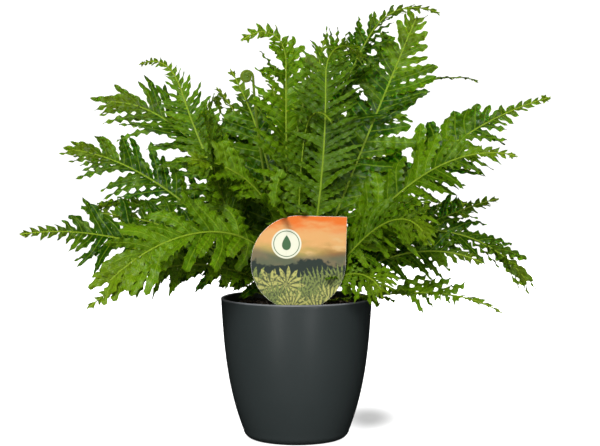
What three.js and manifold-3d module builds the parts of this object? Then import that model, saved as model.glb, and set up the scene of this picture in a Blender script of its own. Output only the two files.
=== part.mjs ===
// Potted silver lady fern: a rosette of feathery fronds in a dark tapered pot, with a plant label.
// Millimetres, Z up, the front faces -Y. The origin is the middle of the pot's base, where it stands.
import * as THREE from 'three';
import Module from 'manifold-3d';
import { mergeVertices } from 'three/addons/utils/BufferGeometryUtils.js';

const wasm = await Module();
wasm.setup();

// Pot: a tapered cover pot with a rounded lip, a round foot and a flat base
const POT = {
  height: 150,
  rimRadius: 80,
  wall: 2.5,
  floor: 3,
  flatRadius: 44.8,
  footRadius: 12,
  footTurn: THREE.MathUtils.degToRad(66),
  footSteps: 3,
  lipEase: 0.4,
  taper: 9,
  tuck: 18.5,
  sides: 36,
};
const POT_LEVELS = [9, 36, 77, 123];

// Soil: fills the pot to a few millimetres under its lip and rises a little to the crown
const SOIL = { edgeLevel: 141, crownLevel: 143, sides: 36, floorInset: 1, pocketFloor: 129, pocketRoom: 2.4 };
const GAP = 0.3;
const FACET_ROOM = 0.2;
const WELD = 1e-3;

// Crown: the short stem that the fronds grow from, a dome that stands in a pocket of the soil
const CROWN = { radius: 24, centre: 133, sides: 20, rings: 5 };

// Label: a thin card, round with one square corner, on a stake pushed into the soil
const LABEL = {
  radius: 48.5,
  thickness: 0.8,
  stakeWidth: 14,
  stakeLength: 52,
  slotUnder: 1,
  slotHeight: 80,
  curveSegments: 8,
  place: new THREE.Vector3(2.1, -62, 191.5),
  turn: THREE.MathUtils.degToRad(1.5),
};

// Fronds: one blade each, with pairs of leaflets cut to the rib
const BLADE = {
  steps: 48,
  end: 0.985,
  pitch: 20.8,
  pitchFade: 0.25,
  halfThickness: 0.42,
  sag: 0.18,
  sweep: 0.12,
  wave: 1.8,
  backAt: 0.55,
  frontAt: 0.42,
  bulge: 0.035,
  foldSpread: 5,
  lengthSpread: 0.06,
  notch: 4,
};
const RIB = {
  halfWidth: 1.7,
  tipHalfWidth: 0.7,
  halfHeight: 1.6,
  tipHalfHeight: 0.6,
  edgeHalf: 0.55,
  footEdgeHalf: 1,
  curlFrom: 0.74,
  swayPower: 1.5,
  seat: 0.05,
};
const STALK_SEGMENTS = 3;
const CLEARANCE = 0.45;
const FIRST_SEED = 100;
const FOLD_TRIES = [0, 14, -14, 28, -28, 42, -42, 56, -56];
const LENGTH_TRIES = [1, 0.8, 0.6, 0.42, 0.28];

// How a frond ends: in a narrow row of lobes, in a brush swept forward, or broad and blunt. Leaflets
// open from the rib by an angle that falls by lean * t ^ power; their length drops to a share of full.
const TAILS = {
  lobed: { open: 72, lean: 22, power: 1, dropFrom: 0.56, dropOver: 0.3, share: 0.2, taper: 0.5 },
  brush: { open: 66, lean: 44, power: 1.6, dropFrom: 0.68, dropOver: 0.32, share: 0.45, taper: 1 },
  blunt: { open: 68, lean: 20, power: 2, dropFrom: 0.64, dropOver: 0.36, share: 0.32, taper: 1 },
};

const FROND_DEFAULTS = {
  sway: 0,
  roll: 0,
  twist: 0,
  fold: 10,
  curl: 0,
  bend: 1.7,
  stalk: 0.14,
  tail: TAILS.lobed,
};

// One row for each frond, the plainest to see first. Angles in degrees: azimuth from +X, rise and
// lean from the crown, then how far the rib droops, curls, sways, rolls and twists along its length.
const FRONDS = [
  { name: 'left_broad', az: 234, rise: 72, length: 271, droop: 117, lean: 39, wide: 54, roll: -34,
    twist: -10, sway: -36, bend: 0.8, stalk: 0.2, tail: TAILS.brush },
  { name: 'front_right', az: -38, rise: 48, length: 208, droop: 84, lean: 57, wide: 52, roll: 55,
    sway: -28, bend: 2.6, stalk: 0.1, tail: TAILS.brush },
  { name: 'right_tall', az: 11, rise: 68, length: 317, droop: 1, lean: 23, wide: 52, roll: 70, sway: -3,
    bend: 1.4, tail: TAILS.blunt },
  { name: 'centre_tall', az: -36, rise: 75, length: 304, droop: -20, lean: 24, wide: 46, roll: -50,
    sway: -9, curl: 137, bend: 0.94, tail: TAILS.blunt },
  { name: 'left_arch', az: 172, rise: 55, length: 323, droop: -18, lean: 34, wide: 34, roll: -40,
    twist: -30, sway: -36, curl: 88, bend: 1 },
  { name: 'left_upper', az: 160, rise: 62, length: 303, droop: 54, lean: 25, wide: 56, roll: -30,
    twist: -40, sway: 6, curl: 9, bend: 2.2, tail: TAILS.brush },
  { name: 'left_middle', az: 171, rise: 47, length: 293, droop: 43, lean: 48, wide: 50, roll: -25,
    twist: -40, sway: -19, bend: 2, tail: TAILS.brush },
  { name: 'left_reach', az: 198, rise: 27, length: 294, droop: 34, lean: 58, wide: 50, roll: -25,
    twist: -50, sway: 12, bend: 2 },
  { name: 'right_long', az: 2, rise: 53, length: 339, droop: 39, lean: 38, wide: 55, roll: 50, twist: 10,
    sway: 5, bend: 1.8 },
  { name: 'right_middle', az: -15, rise: 51, length: 283, droop: 68, lean: 35, wide: 52, roll: 45,
    sway: -5, bend: 2.8 },
  { name: 'right_low_long', az: 1, rise: 60, length: 270, droop: 115, lean: 50, wide: 48, roll: 15,
    twist: 25, bend: 1.06, tail: TAILS.brush },
  { name: 'centre_left', az: 205, rise: 88, length: 316, droop: -4, lean: 17, wide: 56, roll: -80,
    sway: 3, curl: 128, bend: 1.7 },
  { name: 'right_back_tall', az: 36, rise: 81, length: 374, droop: 36, lean: 11, wide: 60, roll: 30,
    sway: -38, curl: 66, bend: 1.8 },
  { name: 'left_nod', az: 217, rise: 46, length: 282, droop: -60, lean: 40, wide: 44, roll: -70,
    sway: 44, curl: -130, bend: 1.85 },
  { name: 'front_left', az: 242, rise: 77, length: 214, droop: 74, lean: 25, wide: 47, roll: -40,
    twist: -10, sway: -42, bend: 1.4, stalk: 0.1, tail: TAILS.blunt },
  { name: 'right_lowest', az: -25, rise: 9.5, length: 216, droop: 36, lean: 61, wide: 40, roll: 3,
    twist: 10, sway: -9, bend: 2.8, stalk: 0.1 },
  { name: 'right_narrow', az: 26, rise: 77.5, length: 336, droop: 94, lean: 34, wide: 46, sway: -16,
    bend: 2.2 },
  { name: 'left_low', az: 210, rise: 46, length: 241, droop: 84, lean: 52, wide: 42, roll: -15,
    twist: -30, bend: 0.85, stalk: 0.09 },
  { name: 'left_inner', az: 134, rise: 77.5, length: 258, droop: 28, lean: 18.6, wide: 48, roll: -40,
    sway: 2, bend: 1.95 },
  { name: 'centre_back', az: 75, rise: 80, length: 300, droop: 35, lean: 18, wide: 48 },
  { name: 'centre_front', az: 285, rise: 90, length: 226, droop: 30, lean: 17, wide: 36, roll: 10,
    sway: 30, curl: 105, bend: 2.1 },
  { name: 'front_right_nod', az: -47, rise: 44, length: 136, droop: 76, lean: 61, wide: 34, roll: 35,
    sway: -20, bend: 1.3, stalk: 0.25, tail: TAILS.brush },
  { name: 'right_low_middle', az: -16, rise: 36, length: 196, droop: 62, lean: 52, wide: 50, roll: 25,
    twist: 20 },
  { name: 'right_shade', az: 12, rise: 36, length: 232, droop: 24, lean: 54, wide: 48, roll: 30,
    twist: 20 },
  { name: 'left_shade', az: 190, rise: 40, length: 214, droop: 36, lean: 46, wide: 50, roll: -30,
    twist: -40, bend: 1.5 },
  { name: 'back_left', az: 126, rise: 60, length: 290, droop: 60, lean: 34, wide: 48 },
  { name: 'back_middle', az: 96, rise: 48, length: 285, droop: 55, lean: 42, wide: 48 },
  { name: 'back_right', az: 60, rise: 56, length: 290, droop: 55, lean: 36, wide: 48 },
  { name: 'back_left_tall', az: 128, rise: 73, length: 262, droop: 40, lean: 26, wide: 48 },
  { name: 'back_tall', az: 100, rise: 70, length: 305, droop: 46, lean: 30, wide: 50 },
  { name: 'back_right_tall', az: 50, rise: 70, length: 300, droop: 44, lean: 28, wide: 48 },
  { name: 'back_left_low', az: 146, rise: 38, length: 280, droop: 50, lean: 54, wide: 46,
    tail: TAILS.brush },
  { name: 'back_right_low', az: 36, rise: 38, length: 280, droop: 50, lean: 56, wide: 46 },
  { name: 'back_low', az: 112, rise: 24, length: 250, droop: 40, lean: 57, wide: 44 },
];

// Croziers: young fronds still rolled up, each a bare stalk that ends in a flat coil
const CROZIERS = [
  { name: 'left', az: 171, rise: 74, length: 230, droop: -13, roll: 15, bend: 1.27, lean: 12.6, coil: 6.8 },
  { name: 'right', az: 222, rise: 83, length: 243, droop: -28, sway: -20, bend: 1.15, lean: 8, coil: 6.6 },
];
const COIL = {
  turns: 1.6,
  inner: 1.6,
  sides: 5,
  stalkRadius: 1.4,
  tipRadius: 0.9,
  stalkRings: 8,
  segments: 16,
  patchWidth: 0.2,
};

const COLOURS = {
  pot: 0x343838,
  soil: 0x2a1f18,
  crown: 0x4a3522,
  label: 0xe8c27a,
  crozier: 0x8fa046,
  leaf: 0x4f8a28,
};

const radians = THREE.MathUtils.degToRad;
const smooth = (x) => THREE.MathUtils.smoothstep(x, 0, 1);
const mix = THREE.MathUtils.lerp;

// Small seeded random number generator, 0 to 1
function seeded(seed) {
  let state = seed;
  return () => {
    state = (state + 0x6d2b79f5) | 0;
    let t = Math.imul(state ^ (state >>> 15), 1 | state);
    t = (t + Math.imul(t ^ (t >>> 7), 61 | t)) ^ t;
    return ((t ^ (t >>> 14)) >>> 0) / 4294967296;
  };
}

function finish(name, geometry, colour, roughness) {
  const material = new THREE.MeshStandardMaterial({ color: colour, roughness, metalness: 0 });
  const mesh = new THREE.Mesh(geometry, material);
  mesh.name = name;
  return mesh;
}

function geometryOf(positions, indices) {
  const geometry = new THREE.BufferGeometry();
  geometry.setAttribute('position', new THREE.Float32BufferAttribute(positions, 3));
  geometry.setIndex(indices);
  return geometry;
}

// A profile of (radius, height) points turned round the Z axis
function turned(profile, sides) {
  const points = profile.map(([radius, height]) => new THREE.Vector2(radius, height));
  const geometry = new THREE.LatheGeometry(points, sides);
  geometry.rotateX(Math.PI / 2);
  return geometry;
}

function solidOf(geometry) {
  const bare = geometry.clone();
  bare.deleteAttribute('normal');
  bare.deleteAttribute('uv');
  const merged = mergeVertices(bare, WELD);
  return new wasm.Manifold(new wasm.Mesh({
    numProp: 3,
    vertProperties: new Float32Array(merged.attributes.position.array),
    triVerts: new Uint32Array(merged.index.array),
  }));
}

function geometryFrom(solid) {
  const mesh = solid.getMesh();
  return geometryOf(Array.from(mesh.vertProperties), Array.from(mesh.triVerts));
}

// Pot, soil, crown and label

// Outer radius of the pot at a height: a gentle taper that tucks in towards the base
function potRadius(height) {
  const down = 1 - height / POT.height;
  return POT.rimRadius - POT.taper * down - POT.tuck * down ** 3;
}

function potGeometry() {
  const lip = POT.wall / 2;
  const base = [[0, 0], [POT.flatRadius, 0]];
  for (let k = 1; k <= POT.footSteps; k += 1) {
    const bend = (POT.footTurn * k) / POT.footSteps;
    base.push([POT.flatRadius + POT.footRadius * Math.sin(bend), POT.footRadius * (1 - Math.cos(bend))]);
  }
  const outside = POT_LEVELS.map((height) => [potRadius(height), height]);
  const rim = [
    [potRadius(POT.height - lip), POT.height - lip],
    [POT.rimRadius - POT.lipEase, POT.height - POT.lipEase],
    [POT.rimRadius - lip, POT.height],
    [POT.rimRadius - POT.wall, POT.height - lip],
  ];
  const inside = POT_LEVELS.toReversed().map((height) => [potRadius(height) - POT.wall, height]);
  const floor = [[POT.flatRadius, POT.floor], [0, POT.floor]];
  return turned([...base, ...outside, ...rim, ...inside, ...floor], POT.sides);
}

function soilGeometry() {
  const soilRadius = (height) => potRadius(height) - POT.wall - GAP - FACET_ROOM;
  const side = POT_LEVELS.map((height) => [soilRadius(height), height]);
  const crownAtSoil = Math.sqrt(CROWN.radius ** 2 - (SOIL.crownLevel - CROWN.centre) ** 2);
  const pocket = crownAtSoil + GAP + SOIL.pocketRoom;
  const body = turned([
    [0, POT.floor + GAP],
    [POT.flatRadius - SOIL.floorInset, POT.floor + GAP],
    ...side,
    [soilRadius(SOIL.edgeLevel), SOIL.edgeLevel],
    [pocket, SOIL.crownLevel],
    [pocket, SOIL.pocketFloor],
    [0, SOIL.pocketFloor],
  ], SOIL.sides);
  const width = LABEL.stakeWidth + 2 * GAP;
  const slot = new THREE.BoxGeometry(width, LABEL.thickness + 2 * GAP, LABEL.slotHeight);
  slot.translate(0, 0, LABEL.slotHeight / 2 - LABEL.slotUnder - LABEL.radius - LABEL.stakeLength);
  slot.rotateY(LABEL.turn);
  slot.translate(LABEL.place.x, LABEL.place.y, LABEL.place.z);
  return geometryFrom(solidOf(body).subtract(solidOf(slot)));
}

function crownGeometry() {
  const profile = [[0, SOIL.pocketFloor + GAP]];
  const lowest = Math.acos((SOIL.pocketFloor + GAP - CROWN.centre) / CROWN.radius);
  for (let ring = 0; ring < CROWN.rings; ring += 1) {
    const angle = lowest * (1 - ring / CROWN.rings);
    profile.push([CROWN.radius * Math.sin(angle), CROWN.centre + CROWN.radius * Math.cos(angle)]);
  }
  profile.push([0, CROWN.centre + CROWN.radius]);
  return turned(profile, CROWN.sides);
}

// Card outline: a circle whose upper right quarter is square, with a pointed stake under it
function labelGeometry() {
  const { radius, stakeWidth, stakeLength, thickness, curveSegments } = LABEL;
  const half = stakeWidth / 2;
  const meet = Math.asin(half / radius);
  const shape = new THREE.Shape();
  shape.moveTo(half, -radius * Math.cos(meet));
  shape.absarc(0, 0, radius, -Math.PI / 2 + meet, 0, false);
  shape.lineTo(radius, radius);
  shape.absarc(0, 0, radius, Math.PI / 2, 1.5 * Math.PI - meet, false);
  shape.lineTo(-half, -radius - stakeLength + half);
  shape.lineTo(0, -radius - stakeLength);
  shape.lineTo(half, -radius - stakeLength + half);
  const card = new THREE.ExtrudeGeometry(shape, { depth: thickness, bevelEnabled: false, curveSegments });
  card.translate(0, 0, -thickness / 2);
  card.rotateX(Math.PI / 2);
  return card;
}

// Rib of a frond

// Where a stalk leaves the crown, and its rib's point and directions at any share of its length.
// The rib turns from its rise by a droop along its length and a curl near its end; its upper side
// rolls and twists about it.
class Rib {
  constructor(row) {
    Object.assign(this, FROND_DEFAULTS, row);
    const around = radians(this.az);
    const lean = radians(this.lean);
    const out = new THREE.Vector3(
      Math.sin(lean) * Math.cos(around), Math.sin(lean) * Math.sin(around), Math.cos(lean));
    const tilt = Math.sqrt(Math.max(0, 1 - out.dot(this.heading(0)) ** 2));
    const point = new THREE.Vector3(0, 0, CROWN.centre);
    point.addScaledVector(out, CROWN.radius + GAP + RIB.seat + RIB.halfWidth * tilt);
    this.points = [point];
    for (let step = 0; step < BLADE.steps; step += 1) {
      const ahead = this.heading(step / BLADE.steps).add(this.heading((step + 1) / BLADE.steps));
      const next = this.points[step].clone();
      this.points.push(next.addScaledVector(ahead, this.length / BLADE.steps / 2));
    }
  }

  azimuth(s) {
    return radians(this.az + this.sway * s ** RIB.swayPower);
  }

  heading(s) {
    const curl = this.curl * smooth((s - RIB.curlFrom) / (1 - RIB.curlFrom));
    const rise = radians(this.rise - this.droop * s ** this.bend - curl);
    const around = this.azimuth(s);
    return new THREE.Vector3(
      Math.cos(rise) * Math.cos(around), Math.cos(rise) * Math.sin(around), Math.sin(rise));
  }

  at(s) {
    const place = Math.min(s * BLADE.steps, BLADE.steps - 1e-9);
    const step = Math.floor(place);
    const point = this.points[step].clone().lerp(this.points[step + 1], place - step);
    const ahead = this.heading(s);
    const around = this.azimuth(s);
    const level = new THREE.Vector3(-Math.sin(around), Math.cos(around), 0);
    const above = ahead.clone().cross(level);
    const roll = radians(this.roll + this.twist * s);
    const side = level.clone().multiplyScalar(Math.cos(roll)).addScaledVector(above, Math.sin(roll));
    const up = above.multiplyScalar(Math.cos(roll)).addScaledVector(level, -Math.sin(roll));
    return { point, ahead, side, up };
  }
}

// Length of a leaflet along the blade as a share of the widest: short at the foot, full at a third,
// then the drop to the tail
const OUTLINE = { foot: 0.36, full: 0.3, taperFrom: 0.86 };

function bladeOutline(t, tail) {
  const foot = mix(OUTLINE.foot, 1, smooth(t / OUTLINE.full));
  const drop = mix(1, tail.share, smooth((t - tail.dropFrom) / tail.dropOver));
  return foot * drop * mix(1, tail.taper, smooth((t - OUTLINE.taperFrom) / (1 - OUTLINE.taperFrom)));
}

// Room round what is already in place

// A patch is a few triangles of a surface's middle, with half its thickness
function patch(corners, half, owner, station) {
  const sphere = new THREE.Sphere().setFromPoints(corners.flat());
  const triangles = corners.map(([a, b, c]) => ({
    face: new THREE.Triangle(a, b, c),
    box: new THREE.Box3().setFromPoints([a, b, c]),
    edges: [new THREE.Line3(a, b), new THREE.Line3(b, c), new THREE.Line3(c, a)],
  }));
  return { sphere, triangles, half, owner, station };
}

const ray = new THREE.Ray();
const spot = new THREE.Vector3();
const grown = new THREE.Box3();

function pierces(edge, face) {
  const span = edge.distance();
  ray.origin.copy(edge.start);
  edge.delta(ray.direction).divideScalar(span);
  const hit = ray.intersectTriangle(face.a, face.b, face.c, false, spot);
  return hit !== null && hit.distanceTo(edge.start) <= span;
}

function cornersClear(one, other, gap) {
  const { a, b, c } = one.face;
  return [a, b, c].every((corner) => {
    other.face.closestPointToPoint(corner, spot);
    return spot.distanceTo(corner) >= gap;
  });
}

function trianglesClear(one, other, gap) {
  grown.copy(one.box).expandByScalar(gap);
  if (!grown.intersectsBox(other.box)) return true;
  if (!cornersClear(one, other, gap) || !cornersClear(other, one, gap)) return false;
  if (one.edges.some((edge) => pierces(edge, other.face))) return false;
  if (other.edges.some((edge) => pierces(edge, one.face))) return false;
  return one.edges.every((edge) => other.edges.every((line) => edge.distanceSqToLine3(line) >= gap * gap));
}

class Thicket {
  constructor() {
    this.patches = [];
  }

  add(item) {
    this.patches.push(item);
  }

  clears(item) {
    return this.patches.every((other) => {
      if (other.owner === item.owner && Math.abs(other.station - item.station) <= 1) return true;
      const gap = item.half + other.half + CLEARANCE;
      const reach = item.sphere.radius + other.sphere.radius + gap;
      if (item.sphere.center.distanceTo(other.sphere.center) > reach) return true;
      return item.triangles.every((one) => other.triangles.every((two) => trianglesClear(one, two, gap)));
    });
  }
}

// A thin closed sheet: each knot has a point above and below, joined alike on both faces
class Sheet {
  constructor() {
    this.positions = [];
    this.indices = [];
  }

  knot(point, normal, half) {
    for (const offset of [half, -half]) {
      this.positions.push(...point.clone().addScaledVector(normal, offset).toArray());
    }
    return this.positions.length / 3 - 2;
  }

  face(a, b, c) {
    this.indices.push(a, b, c, a + 1, c + 1, b + 1);
  }

  wall(a, b) {
    this.indices.push(b, a, a + 1, b, a + 1, b + 1);
  }

  geometry() {
    return geometryOf(this.positions, this.indices);
  }
}

// Stations along a frond: the stalk's from the crown, then one more than the pairs of leaflets
class Frond {
  constructor(row, seed) {
    this.rib = new Rib(row);
    this.owner = row.name;
    this.random = seeded(seed);
    const blade = BLADE.end - this.rib.stalk;
    this.pairs = Math.round((this.rib.length * blade) / BLADE.pitch);
    this.stations = [];
    for (let k = 0; k < STALK_SEGMENTS; k += 1) this.stations.push((this.rib.stalk * k) / STALK_SEGMENTS);
    for (let j = 0; j <= this.pairs; j += 1) {
      const x = j / this.pairs;
      this.stations.push(this.rib.stalk + blade * x * (1 + BLADE.pitchFade * (1 - x)));
    }
    this.frames = this.stations.map((s) => this.rib.at(s));
    this.leaflets = [];
  }

  halfWidth(index) {
    return mix(RIB.halfWidth, RIB.tipHalfWidth, this.stations[index]);
  }

  // Edge of the rib on one side at a station
  shoulder(index, side) {
    const frame = this.frames[index];
    return frame.point.clone().addScaledVector(frame.side, side * this.halfWidth(index));
  }

  // The rib's own patches, which nothing else may cross
  ribPatches() {
    const patches = [];
    for (let k = 0; k + 1 < this.stations.length; k += 1) {
      const [a, b] = [this.shoulder(k, 1), this.shoulder(k, -1)];
      const [c, d] = [this.shoulder(k + 1, 1), this.shoulder(k + 1, -1)];
      const half = mix(RIB.halfHeight, RIB.tipHalfHeight, this.stations[k]);
      patches.push(patch([[a, b, c], [b, d, c]], half, this.owner, k));
    }
    return patches;
  }

  // Corners of one leaflet: it tapers from the width of its seat on the rib to its tip, with round
  // margins. It leaves the rib at an angle, arches, sweeps a little ahead, and its edges wave.
  leafletCorners(index, side, fold, length, waves) {
    const s = (this.stations[index] + this.stations[index + 1]) / 2;
    const t = (s - this.rib.stalk) / (BLADE.end - this.rib.stalk);
    const frame = this.rib.at(s);
    const [near, far] = [this.shoulder(index, side), this.shoulder(index + 1, side)];
    const tilt = radians(fold);
    const across = frame.side.clone().multiplyScalar(side * Math.cos(tilt))
      .addScaledVector(frame.up, Math.sin(tilt));
    const normal = frame.up.clone().multiplyScalar(Math.cos(tilt))
      .addScaledVector(frame.side, -side * Math.sin(tilt));
    const { open, lean, power } = this.rib.tail;
    const angle = radians(open - lean * t ** power);
    const out = frame.ahead.clone().multiplyScalar(Math.cos(angle))
      .addScaledVector(across, Math.sin(angle));
    const edge = frame.ahead.clone().multiplyScalar(Math.sin(angle))
      .addScaledVector(across, -Math.cos(angle));
    const tip = near.clone().lerp(far, 0.5)
      .addScaledVector(out, length)
      .addScaledVector(edge, length * BLADE.sweep)
      .addScaledVector(normal, waves[2] - length * BLADE.sag);
    const margin = (root, u, bulge, wave) => root.clone().lerp(tip, u)
      .addScaledVector(edge, length * bulge)
      .addScaledVector(normal, wave + length * BLADE.sag * (u - u * u));
    return {
      normal,
      back: margin(near, BLADE.backAt, -BLADE.bulge, waves[0]),
      front: margin(far, BLADE.frontAt, BLADE.bulge, waves[1]),
      tip,
    };
  }

  // Angle from the rib, seen from above it, of the line from a shoulder to a leaflet's corner
  openness(index, side, corner) {
    const frame = this.frames[index];
    const line = corner.clone().sub(this.shoulder(index, side));
    return THREE.MathUtils.radToDeg(Math.atan2(side * line.dot(frame.side), line.dot(frame.ahead)));
  }

  // Whether the notch to the leaflet before it stays open, so that their roots don't cross
  notchOpen(index, side, back) {
    const before = this.leaflets.find((item) => item.index === index - 1 && item.side === side);
    const edge = this.openness(index, side, back);
    if (edge <= 0) return false;
    return !before || this.openness(index, side, before.front) - edge > BLADE.notch;
  }

  // Bends one leaflet clear of everything in place, or shortens it; it is left out if neither helps
  growLeaflet(index, side, thicket) {
    const swings = [0, 1, 2].map(() => (this.random() * 2 - 1) * BLADE.wave);
    const jitter = (this.random() * 2 - 1) * BLADE.foldSpread;
    const s = (this.stations[index] + this.stations[index + 1]) / 2;
    const t = (s - this.rib.stalk) / (BLADE.end - this.rib.stalk);
    const spread = 1 + BLADE.lengthSpread * (this.random() * 2 - 1);
    const full = this.rib.wide * bladeOutline(t, this.rib.tail) * spread;
    const root = [this.shoulder(index, side), this.shoulder(index + 1, side)];
    for (const share of LENGTH_TRIES) {
      for (const offset of FOLD_TRIES) {
        const fold = this.rib.fold + jitter + offset;
        const length = full * share;
        const waves = swings.map((swing) => (swing * length) / this.rib.wide);
        const corners = this.leafletCorners(index, side, fold, length, waves);
        const { back, front, tip } = corners;
        const shape = patch([[root[0], root[1], back], [root[1], front, back], [front, tip, back]],
          BLADE.halfThickness, this.owner, index);
        if (this.notchOpen(index, side, back) && thicket.clears(shape)) {
          thicket.add(shape);
          this.leaflets.push({ index, side, ...corners });
          return;
        }
      }
    }
  }

  grow(thicket) {
    for (let index = STALK_SEGMENTS; index + 1 < this.stations.length; index += 1) {
      for (const side of [1, -1]) this.growLeaflet(index, side, thicket);
    }
  }

  geometry() {
    const sheet = new Sheet();
    const last = this.stations.length - 1;
    const knots = this.frames.map((frame, index) => {
      const s = this.stations[index];
      const inStalk = index < STALK_SEGMENTS;
      const edgeHalf = inStalk ? mix(RIB.footEdgeHalf, RIB.edgeHalf, index / STALK_SEGMENTS) : RIB.edgeHalf;
      return {
        left: sheet.knot(this.shoulder(index, 1), frame.up, edgeHalf),
        ridge: sheet.knot(frame.point, frame.up, mix(RIB.halfHeight, RIB.tipHalfHeight, s)),
        right: sheet.knot(this.shoulder(index, -1), frame.up, edgeHalf),
      };
    });
    for (let k = 0; k < last; k += 1) {
      const [near, far] = [knots[k], knots[k + 1]];
      sheet.face(near.ridge, far.ridge, far.left);
      sheet.face(near.ridge, far.left, near.left);
      sheet.face(near.right, far.right, far.ridge);
      sheet.face(near.right, far.ridge, near.ridge);
      this.edge(sheet, k, 1, near.left, far.left);
      this.edge(sheet, k, -1, near.right, far.right);
    }
    sheet.wall(knots[0].left, knots[0].ridge);
    sheet.wall(knots[0].ridge, knots[0].right);
    const end = this.rib.at(1);
    const tip = sheet.knot(end.point, end.up, RIB.tipHalfHeight);
    sheet.face(knots[last].ridge, tip, knots[last].left);
    sheet.face(knots[last].right, tip, knots[last].ridge);
    sheet.wall(tip, knots[last].left);
    sheet.wall(knots[last].right, tip);
    return sheet.geometry();
  }

  // The outline between two stations: a leaflet where one grew, and the rib's bare edge elsewhere
  edge(sheet, index, side, near, far) {
    const leaflet = this.leaflets.find((item) => item.index === index && item.side === side);
    const [from, to] = side > 0 ? [near, far] : [far, near];
    if (!leaflet) {
      sheet.wall(to, from);
      return;
    }
    const knot = (point) => sheet.knot(point, leaflet.normal, BLADE.halfThickness);
    const [back, front, tip] = [leaflet.back, leaflet.front, leaflet.tip].map(knot);
    if (side > 0) {
      sheet.face(near, far, back);
      sheet.face(far, front, back);
      sheet.face(front, tip, back);
      for (const [a, b] of [[far, front], [front, tip], [tip, back], [back, near]]) sheet.wall(a, b);
    } else {
      sheet.face(far, near, back);
      sheet.face(far, back, front);
      sheet.face(front, back, tip);
      for (const [a, b] of [[near, back], [back, tip], [tip, front], [front, far]]) sheet.wall(a, b);
    }
  }
}

// A closed tube of rings along a row of points, with its own radius and up direction at each
function tube(rings, sides) {
  const positions = [];
  const indices = [];
  for (const { point, across, up, radius } of rings) {
    for (let k = 0; k < sides; k += 1) {
      const turn = (2 * Math.PI * k) / sides;
      positions.push(...point.clone()
        .addScaledVector(across, radius * Math.cos(turn))
        .addScaledVector(up, radius * Math.sin(turn)).toArray());
    }
  }
  for (let ring = 0; ring + 1 < rings.length; ring += 1) {
    for (let k = 0; k < sides; k += 1) {
      const [a, b] = [ring * sides + k, ring * sides + ((k + 1) % sides)];
      indices.push(a, b, b + sides, a, b + sides, a + sides);
    }
  }
  const last = (rings.length - 1) * sides;
  for (let k = 1; k + 1 < sides; k += 1) {
    indices.push(0, k + 1, k, last, last + k, last + k + 1);
  }
  return geometryOf(positions, indices);
}

// Rings of a crozier: the stalk's rib, then a flat spiral that closes towards its middle
function crozierRings(row) {
  const rib = new Rib(row);
  const rings = [];
  for (let k = 0; k < COIL.stalkRings; k += 1) {
    const { point, side, up } = rib.at(k / COIL.stalkRings);
    rings.push({ point, across: side, up, radius: COIL.stalkRadius });
  }
  const end = rib.at(1);
  const centre = end.point.clone().addScaledVector(end.up, -row.coil);
  for (let k = 0; k <= COIL.segments; k += 1) {
    const share = k / COIL.segments;
    const turn = 2 * Math.PI * COIL.turns * share;
    const reach = mix(row.coil, COIL.inner, share);
    const up = end.up.clone().multiplyScalar(Math.cos(turn)).addScaledVector(end.ahead, Math.sin(turn));
    const point = centre.clone().addScaledVector(up, reach);
    rings.push({ point, across: end.side, up, radius: mix(COIL.stalkRadius, COIL.tipRadius, share) });
  }
  return rings;
}

// The crozier's room: flat patches along its rings
function crozierPatches(row, rings) {
  const patches = [];
  for (let k = 0; k + 1 < rings.length; k += 1) {
    const [a, b] = [rings[k].point, rings[k + 1].point];
    const c = b.clone().addScaledVector(rings[k].across, COIL.patchWidth);
    patches.push(patch([[a, b, c]], COIL.stalkRadius, `crozier_${row.name}`, k));
  }
  return patches;
}

// Two triangles between a ring of the first radius and height and one of the second, at one side
function ringPatch(side, [outer, top], [inner, low], half, owner) {
  const spotAt = (radius, k, height) => {
    const turn = (2 * Math.PI * k) / KEEP_OFF.sides;
    return new THREE.Vector3(radius * Math.cos(turn), radius * Math.sin(turn), height);
  };
  const [a, b] = [spotAt(outer, side, top), spotAt(outer, side + 1, top)];
  const [c, d] = [spotAt(inner, side, low), spotAt(inner, side + 1, low)];
  return patch([[a, b, c], [b, d, c]], half, owner, 0);
}

// Fixed things that leaflets keep clear of: the pot's upper wall, the soil and the label's card
const KEEP_OFF = { sides: 32, potFrom: 98, potHalf: 1.65, soilHalf: 1 };

function fixedPatches() {
  const patches = [];
  const wallAt = (height) => [potRadius(height) - POT.wall / 2, height];
  const soilEdge = [POT.rimRadius - POT.wall / 2, SOIL.crownLevel];
  for (let k = 0; k < KEEP_OFF.sides; k += 1) {
    patches.push(ringPatch(k, wallAt(POT.height), wallAt(KEEP_OFF.potFrom), KEEP_OFF.potHalf, 'pot'));
    patches.push(ringPatch(k, soilEdge, [CROWN.radius, SOIL.crownLevel], KEEP_OFF.soilHalf, 'soil'));
  }
  const { radius, place, thickness } = LABEL;
  const corner = (x, z) => new THREE.Vector3(place.x + x * radius, place.y, place.z + z * radius);
  const [a, b, c, d] = [corner(-1, -1), corner(1, -1), corner(1, 1), corner(-1, 1)];
  patches.push(patch([[a, b, c], [a, c, d]], thickness, 'label', 0));
  return patches;
}

const fern = new THREE.Group();
fern.add(finish('pot', potGeometry(), COLOURS.pot, 0.5));
fern.add(finish('soil', soilGeometry(), COLOURS.soil, 1));
fern.add(finish('crown', crownGeometry(), COLOURS.crown, 0.9));

const label = finish('plant_label', labelGeometry(), COLOURS.label, 0.4);
label.position.copy(LABEL.place);
label.rotation.y = LABEL.turn;
fern.add(label);

const thicket = new Thicket();
for (const item of fixedPatches()) thicket.add(item);
for (const row of CROZIERS) {
  const rings = crozierRings(row);
  for (const item of crozierPatches(row, rings)) thicket.add(item);
  fern.add(finish(`crozier_${row.name}`, tube(rings, COIL.sides), COLOURS.crozier, 0.7));
}

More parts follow.
